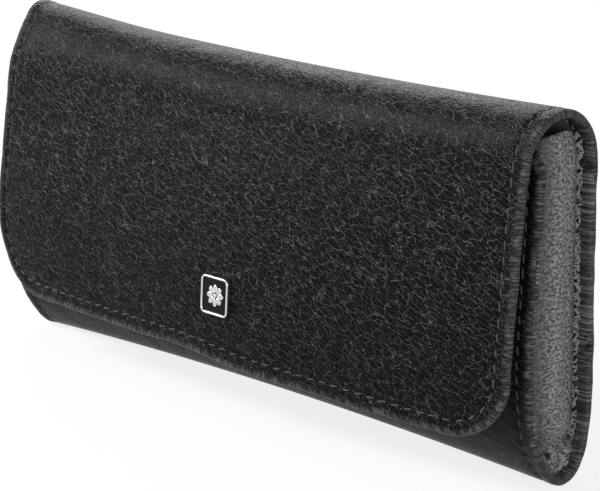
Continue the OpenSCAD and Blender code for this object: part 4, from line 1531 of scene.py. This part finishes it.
def domed_plate(outline: Array, low_y: float, rim_y: float, dome: float, rings: int = 5) -> Patch:
    """Makes a plate with a rounded, domed front that looks along -y.

    Args:
        outline: its outline in x and z, anticlockwise as seen from the front.
        low_y: where its back lies.
        rim_y: where its rim's front edge lies.
        dome: how far its middle stands above the rim.
        rings: number of rings of faces.

    Returns:
        The closed patch.
    """
    centre = outline.mean(0)
    share = np.sin(np.linspace(math.pi / 2, 0, rings + 1))[:-1]
    loops = [np.column_stack([outline[:, 0], np.full(len(outline), low_y), outline[:, 1]])]
    for ring in share:
        flat = centre + (outline - centre) * ring
        y = np.full(len(outline), rim_y - dome * math.sqrt(max(0.0, 1 - ring**2)))
        loops.append(np.column_stack([flat[:, 0], y, flat[:, 1]]))
    count = len(outline)
    points = np.vstack(loops + [[(centre[0], rim_y - dome, centre[1])]])
    faces = [list(range(count))]
    for r in range(len(loops) - 1):
        for i in range(count):
            j = (i + 1) % count
            faces.append([r * count + j, r * count + i, (r + 1) * count + i, (r + 1) * count + j])
    last, tip = (len(loops) - 1) * count, len(points) - 1
    faces += [[last + (i + 1) % count, last + i, tip] for i in range(count)]
    return Patch(points, faces)


@dataclass
class Badge:
    """A small chrome badge: a rounded frame, an enamel inlay and a rosette in relief."""

    width: float = 7.6
    height: float = 8.2
    corner: float = 1.2
    z: float = 26.0
    face_y: float = -14.229
    rise: float = 1.3
    border: float = 0.52
    floor_rise: float = 0.82
    petals: int = 8
    petal_length: float = 1.75
    petal_width: float = 0.62
    bead_radius: float = 0.42

    def frame(self) -> Patch:
        """Returns the frame, a soft-edged bar bent round the outline."""
        inset = self.border / 2
        ring = self.outline(inset)
        middle_y = np.full(len(ring), self.face_y - self.rise / 2)
        path = np.column_stack([ring[:, 0], middle_y, ring[:, 1]])
        section = bar_section(self.rise / 2, inset, (0.55, 0.55))
        return swept(path, section, np.array([0.0, -1.0, 0.0]), closed=True)

    def outline(self, inset: float) -> Array:
        """Returns the badge's outline at an inset, without double points."""
        ring = rounded_outline(self.width / 2 - inset, self.height / 2 - inset, self.corner - inset)
        ring = ring[np.linalg.norm(np.roll(ring, -1, 0) - ring, axis=1) > 1e-6]
        return ring + [0, self.z]

    def inlay(self) -> Patch:
        """Returns the enamel, slightly domed."""
        ring = self.outline(self.border * 0.6)
        return domed_plate(ring, self.face_y - 0.05, self.face_y - self.floor_rise, 0.1)

    def rosette(self) -> Patch:
        """Returns the petals and the bead in their middle."""
        low, rim = self.face_y - self.floor_rise + 0.1, self.face_y - self.floor_rise - 0.1
        a = np.linspace(0, 2 * math.pi, 28, endpoint=False)
        parts = []
        for i in range(self.petals):
            turn = 2 * math.pi * i / self.petals
            along = 0.55 + self.petal_length * 0.5 * (1 + np.cos(a))
            across = self.petal_width * np.sin(a) * np.sin(0.35 + 0.5 * np.arccos(-np.cos(a)))
            x = along * math.cos(turn) - across * math.sin(turn)
            z = along * math.sin(turn) + across * math.cos(turn)
            parts.append(domed_plate(np.column_stack([x, z + self.z]), low, rim, 0.13))
        parts.append(domed_plate(self.bead_radius * circle(28) + [0, self.z], low, rim, 0.2))
        return merged(parts)

    def build(self, chrome: Finish, enamel: Finish) -> None:
        """Makes the badge's three pieces."""
        rows = [
            ("badge_rim", self.frame(), "badge_frame", chrome, "badge_chrome"),
            ("badge_inlay", self.inlay(), "badge_enamel", enamel, "badge_enamel"),
            ("badge_flower", self.rosette(), "badge_rosette", chrome, "badge_chrome"),
        ]
        for name, patch, node, finish, slot in rows:
            fit(patch.make(name), finish, "flap", node)
        LOG.info("badge: frame, inlay and rosette")


# ------------------------------------------------------------------ straps and instruments


@dataclass
class HoldingStrap:
    """A strap of soft leather looped over an instrument, sewn to the back at both feet."""

    node: str
    sheet: Sheet
    thickness: float = 0.66
    foot: float = 2.2
    bend: float = 0.8
    stitch_step: float = 1.35
    thread_radius: float = 0.17

    def span(self) -> tuple[float, float, Array, Array]:
        """Returns the middle x, the width, and the lowest and highest (y, z) in the back's frame."""
        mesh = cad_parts[self.node].data
        flat = np.empty(len(mesh.vertices) * 3)
        mesh.vertices.foreach_get("co", flat)
        x, y, z = (flat.reshape(-1, 3) / MM).T
        y, z = y - self.sheet.bend_y, z - self.sheet.bend_z
        lean = math.radians(self.sheet.lean)
        cos, sin = math.cos(lean), math.sin(lean)
        local = np.column_stack([y * cos + z * sin, z * cos - y * sin])
        return (x.min() + x.max()) / 2, x.max() - x.min(), local.min(0), local.max(0)

    def world(self, x: Array | float, local: Array) -> Array:
        """Returns points of the back's frame in the part's frame."""
        lean = math.radians(self.sheet.lean)
        cos, sin = math.cos(lean), math.sin(lean)
        y, z = local.T
        high = self.sheet.bend_z + y * sin + z * cos
        return np.column_stack([np.broadcast_to(x, y.shape), self.sheet.bend_y + y * cos - z * sin, high])

    def build(self, leather: Finish, thread: Finish) -> None:
        """Makes the strap and the stitches of its feet."""
        x, width, low, high = self.span()
        half = self.thickness / 2
        rest, top = high[0] - half, low[0] + half
        foot, head = low[1] + self.foot - half, high[1] - self.foot + half
        corners = np.array([(rest, low[1]), (rest, foot), (top, foot), (top, head), (rest, head), (rest, high[1])])
        path = self.world(x, self.rounded(corners, self.bend))
        section = bar_section(width / 2, half, (0.25, 0.7))
        strap = swept(path, section, np.array([1.0, 0.0, 0.0])).make(f"{self.node}_leather")
        fit(strap, leather, "case", self.node)
        parts = []
        ring = self.thread_radius * circle(24)[::3]
        u = np.linspace(-1, 1, 7)
        for z in (low[1] + 1.0, high[1] - 1.0):
            for sx in np.arange(-width / 2 + 0.9, width / 2 - 0.7, self.stitch_step):
                local = np.column_stack([rest - half - 0.06 + 0.4 * u**4, np.full(len(u), z)])
                path = self.world(x + sx + u * 0.5, local)
                parts.append(swept(path, ring, np.array([0.0, 1.0, 0.1])))
        sewn = merged(parts).make(f"{self.node}_thread")
        fit(sewn, thread, "case")

    @staticmethod
    def rounded(corners: Array, radius: float) -> Array:
        """Returns a polyline with its inner corners rounded, evenly divided."""
        points = [corners[0]]
        for before, at, after in zip(corners, corners[1:], corners[2:]):
            reach = min(radius, np.linalg.norm(at - before) * 0.45, np.linalg.norm(after - at) * 0.45)
            a, b = at + unit(before - at) * reach, at + unit(after - at) * reach
            for t in np.linspace(0, 1, 7):
                points.append((1 - t) ** 2 * a + 2 * t * (1 - t) * at + t**2 * b)
        points.append(corners[-1])
        return np.array(points)


@dataclass
class Instruments:
    """The steel instruments and the press stud, which keep their solids."""

    steel: Finish
    nickel: Finish
    grit: Finish
    grip: Finish

    def build(self) -> None:
        """Gives each node its finish."""
        steel_names = ("scissors_", "nipper_", "tweezers_", "cuticle_")
        for name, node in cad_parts.items():
            if name.startswith(steel_names) and not name.endswith("_strap"):
                self.steel.dress(node)
            elif name.startswith(("stud_", "socket_")):
                self.nickel.dress(node)
        self.grit.dress(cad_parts["file_blade"])
        self.grip.dress(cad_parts["file_grip"])
        LOG.info("instruments and press stud dressed")


# ------------------------------------------------------------------ studio


@dataclass(frozen=True)
class Lamp:
    """A soft rectangular lamp, unseen by the camera.

    Its distance and its width and height are in metres. A face of radiance 1 is white.
    """

    name: str
    towards: tuple[float, float, float]
    distance: float
    size: tuple[float, float]
    radiance: float

    def make(self, target: Vector) -> None:
        """Sets the lamp up so that it faces the target."""
        data = bpy.data.lights.new(self.name, "AREA")
        data.shape = "RECTANGLE"
        data.size, data.size_y = self.size
        data.energy = self.radiance * math.pi * self.size[0] * self.size[1]
        lamp = add_object(self.name, data)
        away = Vector(self.towards).normalized()
        lamp.location = target + away * self.distance
        lamp.rotation_mode = "QUATERNION"
        lamp.rotation_quaternion = away.to_track_quat("Z", "Y")
        lamp.visible_camera = False


@dataclass
class Studio:
    """A pale floor and white backdrop, soft lamps and the camera, in metres and degrees."""

    azimuth: float = 42.0
    elevation: float = 14.27
    roll: float = 2.56
    place: tuple[float, float, float] = (0.3283, -0.3545, 0.1574)
    lens: float = 144.0
    sensor: float = 36.0
    clip: tuple[float, float] = (0.01, 50.0)
    room_light: float = 0.35
    backdrop: float = 1.0
    paper: tuple[float, float, float, float] = (0.92, 0.92, 0.92, 1.0)
    floor_share: float = 0.8
    floor_half: float = 4.0
    target: tuple[float, float, float] = (0.0, 0.0, 0.037)
    lamps: tuple[Lamp, ...] = (
        Lamp("left_softbox", (-0.648, -0.573, 0.500), 1.2, (0.56, 0.48), 22.0),
        Lamp("top_softbox", (-0.648, 0.592, 0.478), 1.3, (0.6, 0.3), 8.0),
        Lamp("side_softbox", (0.85, -0.45, 0.14), 1.3, (0.5, 0.6), 13.0),
    )

    def camera(self) -> None:
        """Makes the camera at the photograph's viewing angle."""
        a, e, r = (math.radians(v) for v in (self.azimuth, self.elevation, self.roll))
        back = Vector((math.sin(a) * math.cos(e), -math.cos(a) * math.cos(e), math.sin(e)))
        right = Vector((math.cos(a), math.sin(a), 0))
        up = back.cross(right)
        right, up = right * math.cos(r) + up * math.sin(r), up * math.cos(r) - right * math.sin(r)
        data = bpy.data.cameras.new("camera")
        data.lens, data.sensor_width = self.lens, self.sensor
        data.clip_start, data.clip_end = self.clip
        camera = add_object("camera", data)
        turn = Matrix((right, up, back)).transposed().to_4x4()
        camera.matrix_world = Matrix.Translation(self.place) @ turn
        bpy.context.scene.camera = camera

    def seen_direct(self, shade: Shade) -> Wire:
        """Returns 1 for rays from the camera, in reflections and through glass."""
        rays = [shade.node("ShaderNodeLightPath", {}, {}, name)
                for name in ("Is Camera Ray", "Is Glossy Ray", "Is Transmission Ray")]
        return shade.math("MAXIMUM", shade.math("MAXIMUM", rays[0], rays[1]), rays[2])

    def world(self) -> None:
        """Makes the plain room light and the white backdrop."""
        world = bpy.data.worlds.new("studio")
        bpy.context.scene.world = world
        shade = Shade(world)
        seen = self.seen_direct(shade)
        room, white = (
            shade.node("ShaderNodeBackground", {}, {"Color": (1, 1, 1, 1), "Strength": strength})
            for strength in (self.room_light, self.backdrop)
        )
        shade.end(shade.node("ShaderNodeMixShader", {}, {0: seen, 1: room, 2: white}))
        world.cycles.sampling_method = "NONE"

    def floor(self) -> None:
        """Makes the pale floor, which keeps the object's shadow."""
        half = self.floor_half
        mesh = bpy.data.meshes.new("floor")
        corners = [(-half, -half, 0), (half, -half, 0), (half, half, 0), (-half, half, 0)]
        mesh.from_pydata(corners, [], [(0, 1, 2, 3)])
        floor = add_object("floor", mesh)
        shade = Shade(bpy.data.materials.new("floor_paper"))
        paper = shade.node("ShaderNodeBsdfDiffuse", {}, {"Color": self.paper})
        white = shade.node("ShaderNodeEmission", {}, {"Color": (1, 1, 1, 1), "Strength": self.backdrop})
        share = self.seen_direct(shade) * self.floor_share
        shade.end(shade.node("ShaderNodeMixShader", {}, {0: share, 1: paper, 2: white}))
        mesh.materials.append(shade.owner)

    def build(self) -> None:
        """Makes the studio."""
        self.camera()
        self.world()
        self.floor()
        for lamp in self.lamps:
            lamp.make(Vector(self.target))
        bpy.context.scene.view_settings.view_transform = "Standard"
        LOG.info("studio: camera, floor and lamps")


# ------------------------------------------------------------------ the whole


def main() -> None:
    """Builds every sub-assembly."""
    logging.basicConfig(level=logging.INFO, format="%(name)s: %(message)s")
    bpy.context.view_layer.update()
    Studio().build()
    # The gusset's light grain tone stands partly for a painted sheen; its 15 mm span paints shade along the wall's
    # front and rear edges.
    grained, supple = GrainedLeather(), SoftLeather(light=(0.18, 0.18, 0.183), painted_shade_span=15.0)
    # A lighter copy of the grained leather for the turned edges: its crease lines carry a stronger painted
    # highlight.
    turned = GrainedLeather(name="turned_leather", crease=(0.17, 0.17, 0.173), gloss_index=1.2)
    straps = SoftLeather(name="strap_leather", base=(0.012, 0.012, 0.013), light=(0.04, 0.04, 0.041),
                         grain=0.5, depth=0.05)
    thread = SpunThread()
    # The seam thread's pale ply colour is much lighter than the edge thread's: partly its twist, partly a painted
    # glint on the crumpled seam.
    seam_thread = SpunThread(name="seam_thread", dark=(0.02, 0.02, 0.02), light=(0.26, 0.26, 0.26), plies=1.2)
    chrome = Metal("polished_chrome", (0.66, 0.67, 0.69), 0.06, marks=0.04)
    nickel = Metal("nickel_plate", (0.66, 0.63, 0.58), 0.16, brushed=0.05)
    steel = Metal("instrument_steel", (0.60, 0.61, 0.62), 0.16, brushed=0.14, depth=0.01)
    sheet = Sheet()
    layers = Layers(sheet)
    shell = LeatherShell(layers)
    shell.build(grained)
    SeamStitches(shell).build(thread)
    PleatedTurn(sheet).build("right_turned_edge", 1, "right_edge_turn", turned)
    PleatedTurn(sheet).build("left_turned_edge", -1, "left_edge_turn", turned)
    Stiffening(layers).build(PressedBoard())
    Lining(layers).build(WovenLining())
    Gusset(sheet, 1).build("right_gusset", supple, seam_thread)
    Gusset(sheet, -1).build("left_gusset", supple, seam_thread)
    Badge().build(chrome, Enamel())
    for node in sorted(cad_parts):
        if node.endswith("_strap") or node.startswith("lower_strap"):
            HoldingStrap(node, sheet).build(straps, thread)
    Instruments(steel, nickel, FileGrit(), MouldedGrip()).build()


if __name__ == "__main__":
    main()
